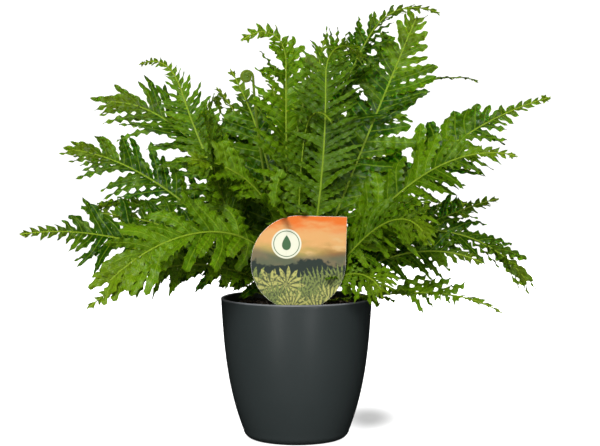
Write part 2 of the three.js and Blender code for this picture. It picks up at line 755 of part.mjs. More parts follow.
// Every rib stands before any leaflet grows, so that leaflets give way to ribs
const fronds = FRONDS.map((row, number) => new Frond(row, FIRST_SEED + number));
for (const frond of fronds) {
  for (const item of frond.ribPatches()) thicket.add(item);
}
for (const frond of fronds) {
  frond.grow(thicket);
  fern.add(finish(`frond_${frond.owner}`, frond.geometry(), COLOURS.leaf, 0.6));
}

export default fern;
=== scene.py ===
"""Potted silver lady fern: a rosette of feathery fronds in a dark tapered pot, with a plant label.

Metres, Z up, the front faces -Y. The origin is the middle of the pot's base, where it stands.
Every surface is a numpy grid over two parameters, put whole into its mesh.
"""

import logging
import math
from dataclasses import dataclass, field
from enum import Enum

import bpy
import numpy as np
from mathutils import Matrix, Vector
from mathutils.bvhtree import BVHTree


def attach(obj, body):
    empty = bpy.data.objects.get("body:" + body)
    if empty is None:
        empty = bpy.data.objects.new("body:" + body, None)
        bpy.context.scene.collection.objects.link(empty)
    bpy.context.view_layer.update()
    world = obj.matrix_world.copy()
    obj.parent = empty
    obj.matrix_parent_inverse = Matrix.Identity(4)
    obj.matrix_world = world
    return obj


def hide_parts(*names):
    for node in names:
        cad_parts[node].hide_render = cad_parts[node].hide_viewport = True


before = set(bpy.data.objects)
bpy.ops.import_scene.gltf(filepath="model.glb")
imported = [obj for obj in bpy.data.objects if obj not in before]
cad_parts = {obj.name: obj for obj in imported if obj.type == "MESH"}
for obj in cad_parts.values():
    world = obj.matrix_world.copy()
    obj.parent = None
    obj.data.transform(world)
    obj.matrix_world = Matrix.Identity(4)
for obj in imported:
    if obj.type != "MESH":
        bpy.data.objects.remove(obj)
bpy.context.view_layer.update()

log = logging.getLogger("fern")

Array = np.ndarray
Colour = tuple[float, float, float]
Place = tuple[float, float, float]
Socket = bpy.types.NodeSocket

BODY = "root"
CROWN_HEIGHT = 0.133
CROWN_RADIUS = 0.024
STALK_START = -0.012
GOLDEN_ANGLE = math.radians(137.508)


class Slot(Enum):
    """Material slots of the part."""

    POT = "pot"
    SOIL = "soil"
    CROWN = "crown"
    LABEL = "label"
    LEAF = "leaf"
    YOUNG_LEAF = "young_leaf"


class Side(Enum):
    """Sides of a rib, as the sign of its sideways direction."""

    LEFT = 1
    RIGHT = -1


class Tail(Enum):
    """How a frond ends: in a narrow row of lobes, in a brush swept forward, or broad and blunt."""

    LOBED = "lobed"
    BRUSH = "brush"
    BLUNT = "blunt"


def smooth(x: Array) -> Array:
    """Eases a share from 0 to 1: 3x^2 - 2x^3, held outside that range."""
    x = np.clip(x, 0.0, 1.0)
    return x * x * (3.0 - 2.0 * x)


def unit(vectors: Array) -> Array:
    """Scales the last axis to length one."""
    return vectors / np.linalg.norm(vectors, axis=-1, keepdims=True)


def rounding(v: Array) -> Array:
    """Half thickness across a blade, 1 at its middle and 0 at its margins: sqrt(1 - v^2)."""
    return np.sqrt(np.maximum(0.0, 1.0 - v ** 2))


def along_path(places: Array, rows: Array, values: Array) -> Array:
    """Rows of x, y, z interpolated at places along them, (n, 3)."""
    return np.stack([np.interp(places, rows, values[:, k]) for k in range(3)], -1)


def ripple(points: Array, seed: int, size: float) -> Array:
    """Smooth seeded noise: the mean of 12 sine waves in random directions, wavelengths near size.

    Args:
        points: Places, the last axis x, y, z.
        seed: Seed of the directions and phases.
        size: Mean wavelength in metres.

    Returns:
        A value from about -1 to 1 at each place.
    """
    rng = np.random.default_rng(seed)
    direction = unit(rng.normal(size=(12, 3)))
    wave = 2 * math.pi / (size * rng.uniform(0.5, 1.6, 12))
    phase = rng.uniform(0, 2 * math.pi, 12)
    return np.sin((points @ direction.T) * wave + phase).mean(axis=-1) * 2.0


class MeshDraft:
    """Collects the surfaces of one piece and makes them one Blender object."""

    def __init__(self, name: str) -> None:
        """Starts an empty draft for a piece of that name."""
        self.name = name
        self.points: list[Array] = []
        self.uvs: list[Array] = []
        self.growth: list[Array] = []
        self.corners: list[Array] = []
        self.counts: list[Array] = []
        self.finishes: list[Array] = []
        self.size = 0

    def add(self, points: Array, faces: list[Array], uv: Array, growth: Array | None = None,
            finish: int | Array = 0) -> None:
        """Adds one surface.

        Args:
            points: Places, (n, 3).
            faces: Arrays of corners, each (m, 3) or (m, 4).
            uv: Surface coordinates, (n, 2).
            growth: Share along the frond, chance, under side and lightness (part tone, part painted light
                and shade), (n, 4).
            finish: Index of the finish, one for all faces or one for each.
        """
        points = points.reshape(-1, 3)
        count = len(points)
        self.points.append(points)
        self.uvs.append(uv.reshape(-1, 2))
        self.growth.append(np.zeros((count, 4)) if growth is None else growth.reshape(-1, 4))
        total = 0
        for block in faces:
            self.corners.append((block + self.size).ravel())
            self.counts.append(np.full(len(block), block.shape[1]))
            total += len(block)
        self.finishes.append(np.broadcast_to(np.asarray(finish), (total,)))
        self.size += count

    def build(self, materials: list[bpy.types.Material], slot: Slot, node: str,
              sharp: float = 50.0) -> bpy.types.Object:
        """Makes the object, which replaces a CAD node and rides on the part's body.

        Args:
            materials: Finishes in the order of their indices.
            slot: The record's material slot; not used.
            node: CAD node that the piece stands for.
            sharp: Angle in degrees past which an edge is drawn sharp.

        Returns:
            The new object.
        """
        points = np.concatenate(self.points)
        corners = np.concatenate(self.corners).astype(np.int32)
        counts = np.concatenate(self.counts)
        mesh = bpy.data.meshes.new(self.name)
        mesh.vertices.add(len(points))
        mesh.vertices.foreach_set("co", points.astype(np.float32).ravel())
        mesh.loops.add(len(corners))
        mesh.loops.foreach_set("vertex_index", corners)
        mesh.polygons.add(len(counts))
        mesh.polygons.foreach_set("loop_start", (np.cumsum(counts) - counts).astype(np.int32))
        mesh.polygons.foreach_set("material_index", np.concatenate(self.finishes).astype(np.int32))
        mesh.update(calc_edges=True)
        layer = mesh.uv_layers.new(name="surface")
        layer.data.foreach_set("uv", np.concatenate(self.uvs)[corners].astype(np.float32).ravel())
        growth = mesh.attributes.new("growth", "FLOAT_COLOR", "POINT")
        growth.data.foreach_set("color", np.concatenate(self.growth).astype(np.float32).ravel())
        for material in materials:
            mesh.materials.append(material)
        mesh.shade_smooth()
        mesh.set_sharp_from_angle(angle=math.radians(sharp))
        piece = bpy.data.objects.new(self.name, mesh)
        bpy.context.scene.collection.objects.link(piece)
        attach(piece, BODY)
        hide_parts(node)
        log.info("%s: %d faces", self.name, len(counts))
        return piece


def grid_faces(rows: int, columns: int, wrap: bool = False) -> Array:
    """Quads of a grid of points, row by row; wrap joins the last column to the first."""
    index = np.arange(rows * columns).reshape(rows, columns)
    if wrap:
        index = np.hstack([index, index[:, :1]])
    return np.stack([index[:-1, :-1], index[:-1, 1:], index[1:, 1:], index[1:, :-1]], -1).reshape(-1, 4)


def turned(profile: Array, sides: int) -> Array:
    """Points of a profile of (radius, height) carried round Z, (len(profile), sides, 3)."""
    turn = 2 * math.pi * np.arange(sides) / sides
    ring = np.stack([np.cos(turn), np.sin(turn)], -1)
    heights = np.broadcast_to(profile[:, None, 1:], (len(profile), sides, 1))
    return np.concatenate([profile[:, None, :1] * ring[None], heights], -1)


def fan(middle: int, start: int, sides: int, flip: bool = False) -> Array:
    """Triangles from one point to the ring of points that begins at start."""
    side = np.arange(sides)
    after = (side + 1) % sides
    first, second = (after, side) if flip else (side, after)
    return np.stack([np.full(sides, middle), first + start, second + start], -1)


def revolve(profile: Array, sides: int) -> tuple[Array, list[Array], Array]:
    """Turns a profile of (radius, height) round Z, closed by a point on the axis at both ends.

    Args:
        profile: Radii and heights, (n, 2), the first and the last at radius 0.
        sides: Number of steps round the axis.

    Returns:
        Points, faces and surface coordinates. The first and the last point are the poles.
    """
    inner = profile[1:-1]
    poles = [np.array([[0.0, 0.0, profile[k, 1]]]) for k in (0, -1)]
    points = np.vstack([poles[0], turned(inner, sides).reshape(-1, 3), poles[1]])
    last_ring = 1 + (len(inner) - 1) * sides
    faces = [grid_faces(len(inner), sides, wrap=True) + 1, fan(0, 1, sides, flip=True),
             fan(len(points) - 1, last_ring, sides)]
    run = np.concatenate([[0], np.cumsum(np.linalg.norm(np.diff(inner, axis=0), axis=1))])
    share = np.repeat(run / run[-1], sides)
    around = np.tile(np.arange(sides) / sides, len(inner))
    uv = np.vstack([[[0.5, 0.0]], np.stack([around, share], -1), [[0.5, 1.0]]])
    return points, faces, uv


def tube(points: Array, across: Array, up: Array, half_width: Array, half_height: Array,
         sides: int = 8, groove: float = 0.0) -> tuple[Array, list[Array], Array]:
    """Carries an oval ring along a path and closes both ends with a fan.

    Args:
        points: Path, (n, 3).
        across: Sideways directions along it, (n, 3).
        up: Upward directions along it, (n, 3).
        half_width: Half the oval's width, (n,).
        half_height: Half the oval's height, (n,).
        sides: Points round the ring.
        groove: Share by which the top of the ring is pressed in.

    Returns:
        Points, faces and surface coordinates (along, around).
    """
    turn = 2 * math.pi * (np.arange(sides) + 0.5 * (groove == 0.0)) / sides
    pressed = 1.0 - groove * np.exp(-((np.sin(turn) - 1.0) / 0.2) ** 2)
    ring = (points[:, None] + across[:, None] * (half_width[:, None] * np.cos(turn))[..., None]
            + up[:, None] * (half_height[:, None] * np.sin(turn) * pressed)[..., None])
    count = len(points)
    body = np.vstack([ring.reshape(-1, 3), points[:1], points[-1:]])
    faces = [grid_faces(count, sides, wrap=True)[:, ::-1], fan(count * sides, 0, sides),
             fan(count * sides + 1, (count - 1) * sides, sides, flip=True)]
    along = np.repeat(np.linspace(0, 1, count), sides)
    uv = np.vstack([np.stack([along, np.tile(np.arange(sides) / sides, count)], -1), [[0, 0.5], [1, 0.5]]])
    return body, faces, uv


class Lens:
    """A thin closed blade over a grid of nu by nv points: two faces that share their border."""

    def __init__(self, nu: int, nv: int) -> None:
        """Works out the faces of one blade, the upper side first."""
        self.u = np.linspace(0.0, 1.0, nu)
        self.v = np.linspace(-1.0, 1.0, nv)
        top = np.arange(nu * nv).reshape(nu, nv)
        under = top.copy()
        under[1:-1, 1:-1] = nu * nv + np.arange((nu - 2) * (nv - 2)).reshape(nu - 2, nv - 2)
        quads = grid_faces(nu, nv)
        self.faces = np.vstack([quads[:, ::-1], under.ravel()[quads]])
        self.count = nu * nv + (nu - 2) * (nv - 2)

    def stack(self, middle: Array, offset: Array) -> Array:
        """Points of n blades, from their middle surfaces and half thicknesses, (n, count, 3)."""
        n = len(middle)
        top = (middle + offset).reshape(n, -1, 3)
        under = (middle - offset)[:, 1:-1, 1:-1].reshape(n, -1, 3)
        return np.concatenate([top, under], axis=1)

    def fill(self, values: Array) -> Array:
        """The same values, (n, nu, nv, k), on both faces, (n, count, k)."""
        n, k = len(values), values.shape[-1]
        return np.concatenate([values.reshape(n, -1, k), values[:, 1:-1, 1:-1].reshape(n, -1, k)], 1)

    def grid(self) -> tuple[Array, Array]:
        """Shares along and places across, shaped to work on (n, nu, nv, 3) arrays."""
        return self.u[None, :, None, None], self.v[None, None, :, None]

    def coordinates(self, n: int) -> Array:
        """Surface coordinates of n blades, along and across from 0 to 1, (n, count, 2)."""
        uv = np.stack(np.broadcast_arrays(self.u[:, None], (self.v[None] + 1) / 2), -1)
        return self.fill(np.broadcast_to(uv, (n, *uv.shape)))

    def below(self) -> Array:
        """1 at the points of the under side and 0 elsewhere, (count,)."""
        grid = len(self.u) * len(self.v)
        return (np.arange(self.count) >= grid).astype(float)

    def all_faces(self, flipped: Array) -> Array:
        """Faces of n blades one after the other; a flipped blade's faces are turned over."""
        faces = np.where(flipped[:, None, None], self.faces[:, ::-1], self.faces)
        return (faces + (np.arange(len(flipped)) * self.count)[:, None, None]).reshape(-1, 4)


class Shader:
    """Lays out the nodes of one material round a Principled shader."""

    def __init__(self, name: str, roughness: float, specular: float = 0.5) -> None:
        """Starts a material with a Principled shader of that roughness and gloss level."""
        self.material = bpy.data.materials.new(name)
        self.material.use_nodes = True
        self.tree = self.material.node_tree
        self.surface = self.tree.nodes["Principled BSDF"]
        self.surface.inputs["Roughness"].default_value = roughness
        self.surface.inputs["Specular IOR Level"].default_value = specular

    def node(self, kind: str, inputs: dict[str, object] | None = None,
             **settings: object) -> bpy.types.Node:
        """Adds a node, with its settings and its inputs, each a value or a socket to join."""
        made = self.tree.nodes.new(kind)
        for key, value in settings.items():
            setattr(made, key, value)
        for key, value in (inputs or {}).items():
            if isinstance(value, bpy.types.NodeSocket):
                self.tree.links.new(value, made.inputs[key])
            else:
                made.inputs[key].default_value = value
        return made

    def math(self, operation: str, a: Socket | float, b: Socket | float = 0.0,
             c: Socket | float = 0.0) -> Socket:
        """One step of arithmetic on values."""
        made = self.tree.nodes.new("ShaderNodeMath")
        made.operation = operation
        for place, value in zip(made.inputs, (a, b, c)):
            if isinstance(value, bpy.types.NodeSocket):
                self.tree.links.new(value, place)
            else:
                place.default_value = value
        return made.outputs[0]

    def times(self, a: Socket | float, b: Socket | float) -> Socket:
        """Product of two values."""
        return self.math("MULTIPLY", a, b)

    def plus(self, a: Socket | float, b: Socket | float) -> Socket:
        """Sum of two values."""
        return self.math("ADD", a, b)

    def minus(self, a: Socket | float, b: Socket | float) -> Socket:
        """Difference of two values."""
        return self.math("SUBTRACT", a, b)

    def line(self, value: Socket | float, slope: Socket | float, start: Socket | float) -> Socket:
        """A straight line: value * slope + start."""
        return self.math("MULTIPLY_ADD", value, slope, start)

    def far(self, a: Socket, b: Socket) -> Socket:
        """Length of the way (a, b): sqrt(a * a + b * b)."""
        return self.math("SQRT", self.plus(self.times(a, a), self.times(b, b)))

    def ease(self, value: Socket, low: float, high: float) -> Socket:
        """0 at low and 1 at high, eased between."""
        made = self.node("ShaderNodeMapRange", {"Value": value, "From Min": low, "From Max": high},
                         interpolation_type="SMOOTHSTEP")
        return made.outputs["Result"]

    def mix(self, factor: Socket | float, a: Socket | Colour, b: Socket | Colour) -> Socket:
        """Blends two colours."""
        made = self.node("ShaderNodeMix", data_type="RGBA")
        for key, value in ((0, factor), (6, a), (7, b)):
            if isinstance(value, bpy.types.NodeSocket):
                self.tree.links.new(value, made.inputs[key])
            else:
                made.inputs[key].default_value = value if key == 0 else (*value, 1.0)
        return made.outputs[2]

    def place(self) -> Socket:
        """Object coordinates in metres."""
        return self.node("ShaderNodeTexCoord").outputs["Object"]

    def stretched(self, scale: Place, turn: Place) -> Socket:
        """Object coordinates, turned and stretched."""
        made = self.node("ShaderNodeMapping", {"Vector": self.place(), "Scale": scale, "Rotation": turn})
        return made.outputs[0]

    def noise(self, scale: float, detail: float = 2.0, vector: Socket | None = None,
              roughness: float = 0.5) -> Socket:
        """Noise from 0 to 1 at so many waves a metre, or over another vector."""
        made = self.node("ShaderNodeTexNoise", {
            "Vector": vector or self.place(), "Scale": scale, "Detail": detail, "Roughness": roughness})
        return made.outputs[0]

    def surface_uv(self) -> tuple[Socket, Socket]:
        """The surface's own two coordinates."""
        stored = self.node("ShaderNodeUVMap", uv_map="surface").outputs[0]
        split = self.node("ShaderNodeSeparateXYZ", {"Vector": stored})
        return split.outputs[0], split.outputs[1]

    def growth(self) -> tuple[Socket, Socket, Socket, Socket]:
        """Share along the frond, chance, under side and lightness, which is part tone and part painted light
        and shade.
        """
        stored = self.node("ShaderNodeAttribute", attribute_name="growth")
        split = self.node("ShaderNodeSeparateColor", {"Color": stored.outputs["Color"]})
        return split.outputs[0], split.outputs[1], split.outputs[2], stored.outputs["Alpha"]

    def colour(self, value: Socket) -> None:
        """Joins the base colour."""
        self.tree.links.new(value, self.surface.inputs["Base Color"])

    def rough(self, value: Socket) -> None:
        """Joins the roughness."""
        self.tree.links.new(value, self.surface.inputs["Roughness"])

    def relief(self, height: Socket, depth: float, strength: float = 1.0) -> None:
        """Joins a bump of that depth in metres."""
        bump = self.node("ShaderNodeBump", {"Height": height, "Distance": depth, "Strength": strength})
        self.tree.links.new(bump.outputs[0], self.surface.inputs["Normal"])

    def soften(self, weight: float, radius: Colour, scale: float) -> None:
        """Lets some light through the surface."""
        self.surface.inputs["Subsurface Weight"].default_value = weight
        self.surface.inputs["Subsurface Radius"].default_value = radius
        self.surface.inputs["Subsurface Scale"].default_value = scale


@dataclass(frozen=True)
class LeafFinish:
    """Fresh green blade: satin, mottled in random tone and painted pale sheen, with a groove at the midrib
    and fine side veins.
    """

    name: str = "fern_leaf"
    deep: Colour = (0.009, 0.034, 0.0006)
    bright: Colour = (0.072, 0.148, 0.0016)
    tip: Colour = (0.14, 0.18, 0.005)
    # Painted sheen: a pale cool green patched over the blade in place of gloss.
    painted_sheen: Colour = (0.135, 0.225, 0.034)
    under: Colour = (0.040, 0.088, 0.002)
    midrib: Colour = (0.12, 0.19, 0.008)
    roughness: float = 0.32
    gloss: float = 0.09
    sheen_and_tone_mottling: float = 0.45
    veining: float = 0.34

    def material(self) -> bpy.types.Material:
        """Builds the material from the surface's own coordinates and growth."""
        sheet = Shader(self.name, self.roughness, self.gloss)
        share, chance, under, tone_and_painted_shade = sheet.growth()
        along, across = sheet.surface_uv()
        cloud = sheet.noise(22.0, 3.0)
        # The frond's lightness is partly painted light and shade. Chance and cloud add random tone, and
        # leaflets grow lighter towards their tips.
        shade = sheet.line(chance, 0.6, tone_and_painted_shade)
        shade = sheet.plus(shade, sheet.line(cloud, 1.3, -0.95))
        shade = sheet.plus(shade, sheet.line(along, 0.30, -0.15))
        body = sheet.mix(sheet.ease(shade, 0.0, 1.0), self.deep, self.bright)
        sheen_and_tone_noise = sheet.noise(85.0, 3.0)
        # Painted sheen where the noise is high; random darker tone where it is low.
        body = sheet.mix(sheet.times(sheet.ease(sheen_and_tone_noise, 0.52, 0.72), self.sheen_and_tone_mottling), body, self.painted_sheen)
        body = sheet.mix(sheet.times(sheet.ease(sheen_and_tone_noise, 0.48, 0.30), self.sheen_and_tone_mottling), body, self.deep)
        young = sheet.times(sheet.ease(share, 0.68, 1.0), 0.36)
        body = sheet.mix(young, body, self.tip)
        off = sheet.math("ABSOLUTE", sheet.minus(across, 0.5))
        slant = sheet.minus(sheet.times(along, 70.0), sheet.times(off, 34.0))
        veins = sheet.line(sheet.math("SINE", slant), 0.5, 0.5)
        body = sheet.mix(sheet.times(veins, self.veining), body, self.deep)
        margin = sheet.ease(off, 0.40, 0.5)
        body = sheet.mix(sheet.times(margin, 0.22), body, self.tip)
        line = sheet.ease(off, 0.075, 0.02)
        body = sheet.mix(sheet.times(line, 0.6), body, self.midrib)
        body = sheet.mix(sheet.times(under, 0.45), body, self.under)
        sheet.colour(body)
        sheet.rough(sheet.line(cloud, 0.2, self.roughness - 0.1))
        height = sheet.minus(sheet.times(veins, 0.35), line)
        sheet.relief(sheet.plus(height, sheet.times(sheet.noise(130.0, 3.0), 3.0)), 0.0003)
        sheet.soften(0.12, (0.5, 1.0, 0.25), 0.002)
        return sheet.material


@dataclass(frozen=True)
class RibFinish:
    """Rib and stalk: yellow green, brown and scurfy at the foot, with fine lengthwise lines."""

    name: str = "fern_rib"
    green: Colour = (0.12, 0.19, 0.010)
    young: Colour = (0.17, 0.25, 0.012)
    brown: Colour = (0.045, 0.026, 0.010)
    foot: float = 0.12
    roughness: float = 0.45
    gloss: float = 0.15

    def material(self) -> bpy.types.Material:
        """Builds the material along the rib's own length."""
        sheet = Shader(self.name, self.roughness, self.gloss)
        share, _, _, _ = sheet.growth()
        _, around = sheet.surface_uv()
        body = sheet.mix(share, self.green, self.young)
        scurf = sheet.noise(350.0, 3.0)
        reach = sheet.plus(share, sheet.line(scurf, 0.16, -0.08))
        body = sheet.mix(sheet.ease(reach, self.foot, 0.01), body, self.brown)
        lines = sheet.math("SINE", sheet.times(around, 60.0))
        sheet.colour(body)
        sheet.relief(sheet.plus(sheet.times(lines, 0.3), scurf), 0.0002)
        sheet.soften(0.1, (0.6, 1.0, 0.3), 0.002)
        return sheet.material


@dataclass(frozen=True)
class PotFinish:
    """Matt anthracite plastic with a fine moulded grain, cloudy gloss and a painted highlight along the lip.
    """

    name: str = "pot_plastic"
    base: Colour = (0.0180, 0.0230, 0.0230)
    worn: Colour = (0.0265, 0.0315, 0.0315)
    # Painted highlight: the light grey laid along the lip's rounded top.
    edge: Colour = (0.105, 0.110, 0.115)
    roughness: float = 0.36
    gloss: float = 0.30
    # Heights between which the lip's painted highlight is laid.
    lip: tuple[float, float] = (0.1481, 0.1492)

    def material(self) -> bpy.types.Material:
        """Builds the material in object coordinates."""
        sheet = Shader(self.name, self.roughness, self.gloss)
        broad = sheet.noise(14.0, 2.0)
        height = sheet.node("ShaderNodeSeparateXYZ", {"Vector": sheet.place()}).outputs[2]
        # Painted highlight: the band on the lip's top, between the two heights, takes the light grey.
        lip = sheet.ease(height, *self.lip)
        body = sheet.mix(sheet.times(broad, 0.35), self.base, self.worn)
        body = sheet.mix(lip, body, self.edge)
        sheet.colour(body)
        sheet.rough(sheet.line(broad, 0.12, self.roughness - 0.06))
        grain = sheet.noise(2600.0, 1.0)
        dents = sheet.noise(120.0, 2.0)
        sheet.relief(sheet.plus(grain, sheet.times(dents, 0.8)), 0.00005)
        return sheet.material


@dataclass(frozen=True)
class SoilFinish:
    """Damp peat with painted shade in its hollows, uneven tone and a few lighter fibres."""

    name: str = "potting_soil"
    dark: Colour = (0.010, 0.007, 0.005)
    light: Colour = (0.050, 0.033, 0.021)
    fibre: Colour = (0.14, 0.095, 0.055)
    roughness: float = 0.92
    gloss: float = 0.25

    def material(self) -> bpy.types.Material:
        """Builds the material in object coordinates."""
        sheet = Shader(self.name, self.roughness, self.gloss)
        clods = sheet.noise(160.0, 5.0, roughness=0.7)
        # Painted shade: the noise that lowers the bumps also darkens them, so the hollows read as shaded.
        body = sheet.mix(sheet.ease(clods, 0.35, 0.7), self.dark, self.light)
        drawn_out = sheet.stretched((1.0, 3.5, 1.0), (0.0, 0.0, 0.7))
        fibres = sheet.ease(sheet.noise(420.0, 1.0, drawn_out), 0.70, 0.76)
        body = sheet.mix(sheet.times(fibres, 0.7), body, self.fibre)
        sheet.colour(body)
        sheet.relief(clods, 0.0016)
        return sheet.material


@dataclass(frozen=True)
class ScaleFinish:
    """Brown papery scales of the crown, darker at their foot."""

    name: str = "crown_scales"
    dark: Colour = (0.035, 0.018, 0.008)
    light: Colour = (0.17, 0.095, 0.04)
    roughness: float = 0.62
    gloss: float = 0.3

    def material(self) -> bpy.types.Material:
        """Builds the material along each scale."""
        sheet = Shader(self.name, self.roughness, self.gloss)
        along, across = sheet.surface_uv()
        _, chance, _, _ = sheet.growth()
        tone = sheet.plus(sheet.times(along, 0.6), sheet.times(chance, 0.4))
        grain = sheet.noise(500.0, 3.0)
        sheet.colour(sheet.mix(sheet.times(tone, grain), self.dark, self.light))
        lines = sheet.math("SINE", sheet.times(across, 40.0))
        sheet.relief(sheet.plus(lines, grain), 0.0001)
        return sheet.material


@dataclass(frozen=True)
class Clump:
    """One fan of blades in the label's print.

    Attributes:
        foot: Where the blades start, in shares of the card's width across and up.
        reach: Length of the longest, as a share of the card's width.
        blade: Half the angle that a blade takes up, in radians.
        gold: Whether it is golden or green.
    """

    foot: tuple[float, float]
    reach: float
    blade: float
    gold: bool


CLUMPS = [
    Clump((0.06, 0.16), 0.30, 0.16, False),
    Clump((0.95, 0.20), 0.30, 0.09, False),
    Clump((0.74, 0.14), 0.34, 0.08, False),
    Clump((0.54, 0.12), 0.30, 0.10, False),
    Clump((0.22, 0.24), 0.21, 0.30, True),
    Clump((0.38, 0.27), 0.20, 0.26, True),
    Clump((0.30, 0.04), 0.26, 0.11, False),
    Clump((0.84, 0.06), 0.24, 0.12, True),
    Clump((0.62, 0.02), 0.26, 0.09, False),
    Clump((0.44, 0.00), 0.22, 0.13, True),
    Clump((0.16, 0.02), 0.20, 0.10, False),
    Clump((0.72, -0.04), 0.24, 0.14, True),
]


@dataclass(frozen=True)
class PrintFinish:
    """Print on the card's front: a cloudy warm sky over woods and clumps of blades, a drop on a disc."""

    name: str = "label_print"
    sky_top: Colour = (0.46, 0.10, 0.012)
    sky_middle: Colour = (0.44, 0.235, 0.085)
    sky_low: Colour = (0.26, 0.21, 0.060)
    cloud: Colour = (0.43, 0.31, 0.145)
    dusk: Colour = (0.17, 0.045, 0.016)
    far_hill: Colour = (0.072, 0.082, 0.048)
    haze: Colour = (0.125, 0.100, 0.055)
    near_hill: Colour = (0.018, 0.026, 0.021)
    leaf_shade: Colour = (0.045, 0.056, 0.026)
    green_blade: Colour = (0.130, 0.160, 0.046)
    gold_blade: Colour = (0.290, 0.285, 0.085)
    cream: Colour = (0.48, 0.48, 0.38)
    mark: Colour = (0.04, 0.09, 0.04)
    disc: tuple[float, float] = (0.37, 0.70)
    disc_radius: float = 0.16
    drop_height: float = 0.16
    roughness: float = 0.35
    gloss: float = 0.12

    def material(self) -> bpy.types.Material:
        """Builds the print from the card's own coordinates, 0 to 1 across and up."""
        sheet = Shader(self.name, self.roughness, self.gloss)
        x, z = sheet.surface_uv()
        wash = sheet.noise(34.0, 4.0)
        cloud = sheet.noise(46.0, 5.0, sheet.stretched((1.0, 1.0, 2.6), (0.0, 0.25, 0.0)))
        level = sheet.plus(z, sheet.line(cloud, 0.34, -0.17))
        sky = sheet.mix(sheet.ease(level, 0.56, 0.74), self.sky_low, self.sky_middle)
        sky = sheet.mix(sheet.times(sheet.ease(cloud, 0.52, 0.72), 0.7), sky, self.cloud)
        sky = sheet.mix(sheet.ease(level, 0.80, 0.97), sky, self.sky_top)
        glow = sheet.times(sheet.ease(x, 0.55, 0.95), sheet.ease(level, 0.72, 0.56))
        sky = sheet.mix(sheet.times(glow, 0.8), sky, self.dusk)
        woods = sheet.line(sheet.noise(150.0, 4.0), 0.16, -0.08)
        far = sheet.mix(sheet.ease(wash, 0.40, 0.62), self.far_hill, self.haze)
        body = sheet.mix(self.under_edge(sheet, x, z, wash, 0.60, 0.030, 5.2, 0.05), sky, far)
        height = sheet.minus(z, woods)
        near = self.under_edge(sheet, x, height, wash, 0.50, 0.035, 8.5, 0.014)
        body = sheet.mix(near, body, self.near_hill)
        for clump in CLUMPS:
            body = self.add_clump(sheet, x, z, body, clump)
        body = self.stamp(sheet, x, z, body)
        sheet.colour(body)
        sheet.relief(sheet.noise(1500.0, 1.0), 0.00002)
        return sheet.material

    def add_clump(self, sheet: Shader, x: Socket, z: Socket, body: Socket, clump: Clump) -> Socket:
        """A fan of pointed blades round a foot; each reaches further in its middle than at its edges."""
        right = sheet.minus(x, clump.foot[0])
        up = sheet.minus(z, clump.foot[1])
        away = sheet.far(right, up)
        uneven = sheet.noise(60.0, 2.0)
        turn = sheet.plus(sheet.math("ARCTAN2", right, up), sheet.times(uneven, 0.35))
        middle = sheet.math("DIVIDE", sheet.math("PINGPONG", turn, clump.blade), clump.blade)
        reach = sheet.line(middle, 0.45 * clump.reach, 0.40 * clump.reach)
        reach = sheet.plus(reach, sheet.times(uneven, 0.30 * clump.reach))
        inside = sheet.ease(sheet.minus(reach, away), -0.004, 0.008)
        tone = self.gold_blade if clump.gold else self.green_blade
        patches = sheet.ease(sheet.noise(420.0, 3.0), 0.30, 0.55)
        lit = sheet.times(sheet.ease(middle, 0.05, 0.7), patches)
        return sheet.mix(inside, body, sheet.mix(lit, self.leaf_shade, tone))

    def under_edge(self, sheet: Shader, x: Socket, z: Socket, wash: Socket, height: float, rise: float,
                   waves: float, soft: float) -> Socket:
        """1 under a hill's outline: height + rise * sin(waves * (x + 0.3)), a little uneven."""
        line = sheet.math("SINE", sheet.line(x, waves, waves * 0.3))
        line = sheet.line(line, rise, height)
        line = sheet.plus(line, sheet.line(wash, 0.09, -0.045))
        return sheet.ease(sheet.minus(line, z), -soft, soft)

    def stamp(self, sheet: Shader, x: Socket, z: Socket, body: Socket) -> Socket:
        """A cream disc with a thin ring and a drop, at share t up 0.125 * sqrt(t) * (1 - t) to each side."""
        dx = sheet.minus(x, self.disc[0])
        dz = sheet.minus(z, self.disc[1])
        away = sheet.far(dx, dz)
        body = sheet.mix(sheet.ease(away, self.disc_radius, self.disc_radius - 0.006), body, self.cream)
        ring = sheet.math("ABSOLUTE", sheet.minus(away, self.disc_radius * 0.84))
        body = sheet.mix(sheet.ease(ring, 0.006, 0.002), body, self.mark)
        rise = sheet.math("MINIMUM", sheet.line(dz, 1.0 / self.drop_height, 0.42), 1.0)
        rise = sheet.math("MAXIMUM", rise, 0.0)
        wide = sheet.times(sheet.math("SQRT", rise), sheet.line(rise, -0.125, 0.125))
        drop = sheet.minus(wide, sheet.math("ABSOLUTE", dx))
        return sheet.mix(sheet.ease(drop, -0.002, 0.004), body, self.mark)


@dataclass(frozen=True)
class CardFinish:
    """Back and edge of the card: white coated board with a faint grain."""

    name: str = "label_card"
    white: Colour = (0.76, 0.75, 0.70)
    grey: Colour = (0.62, 0.61, 0.56)
    roughness: float = 0.4
    gloss: float = 0.5

    def material(self) -> bpy.types.Material:
        """Builds the material in object coordinates."""
        sheet = Shader(self.name, self.roughness, self.gloss)
        grain = sheet.noise(700.0, 3.0)
        sheet.colour(sheet.mix(sheet.times(grain, 0.5), self.white, self.grey))
        sheet.relief(grain, 0.00003)
        return sheet.material


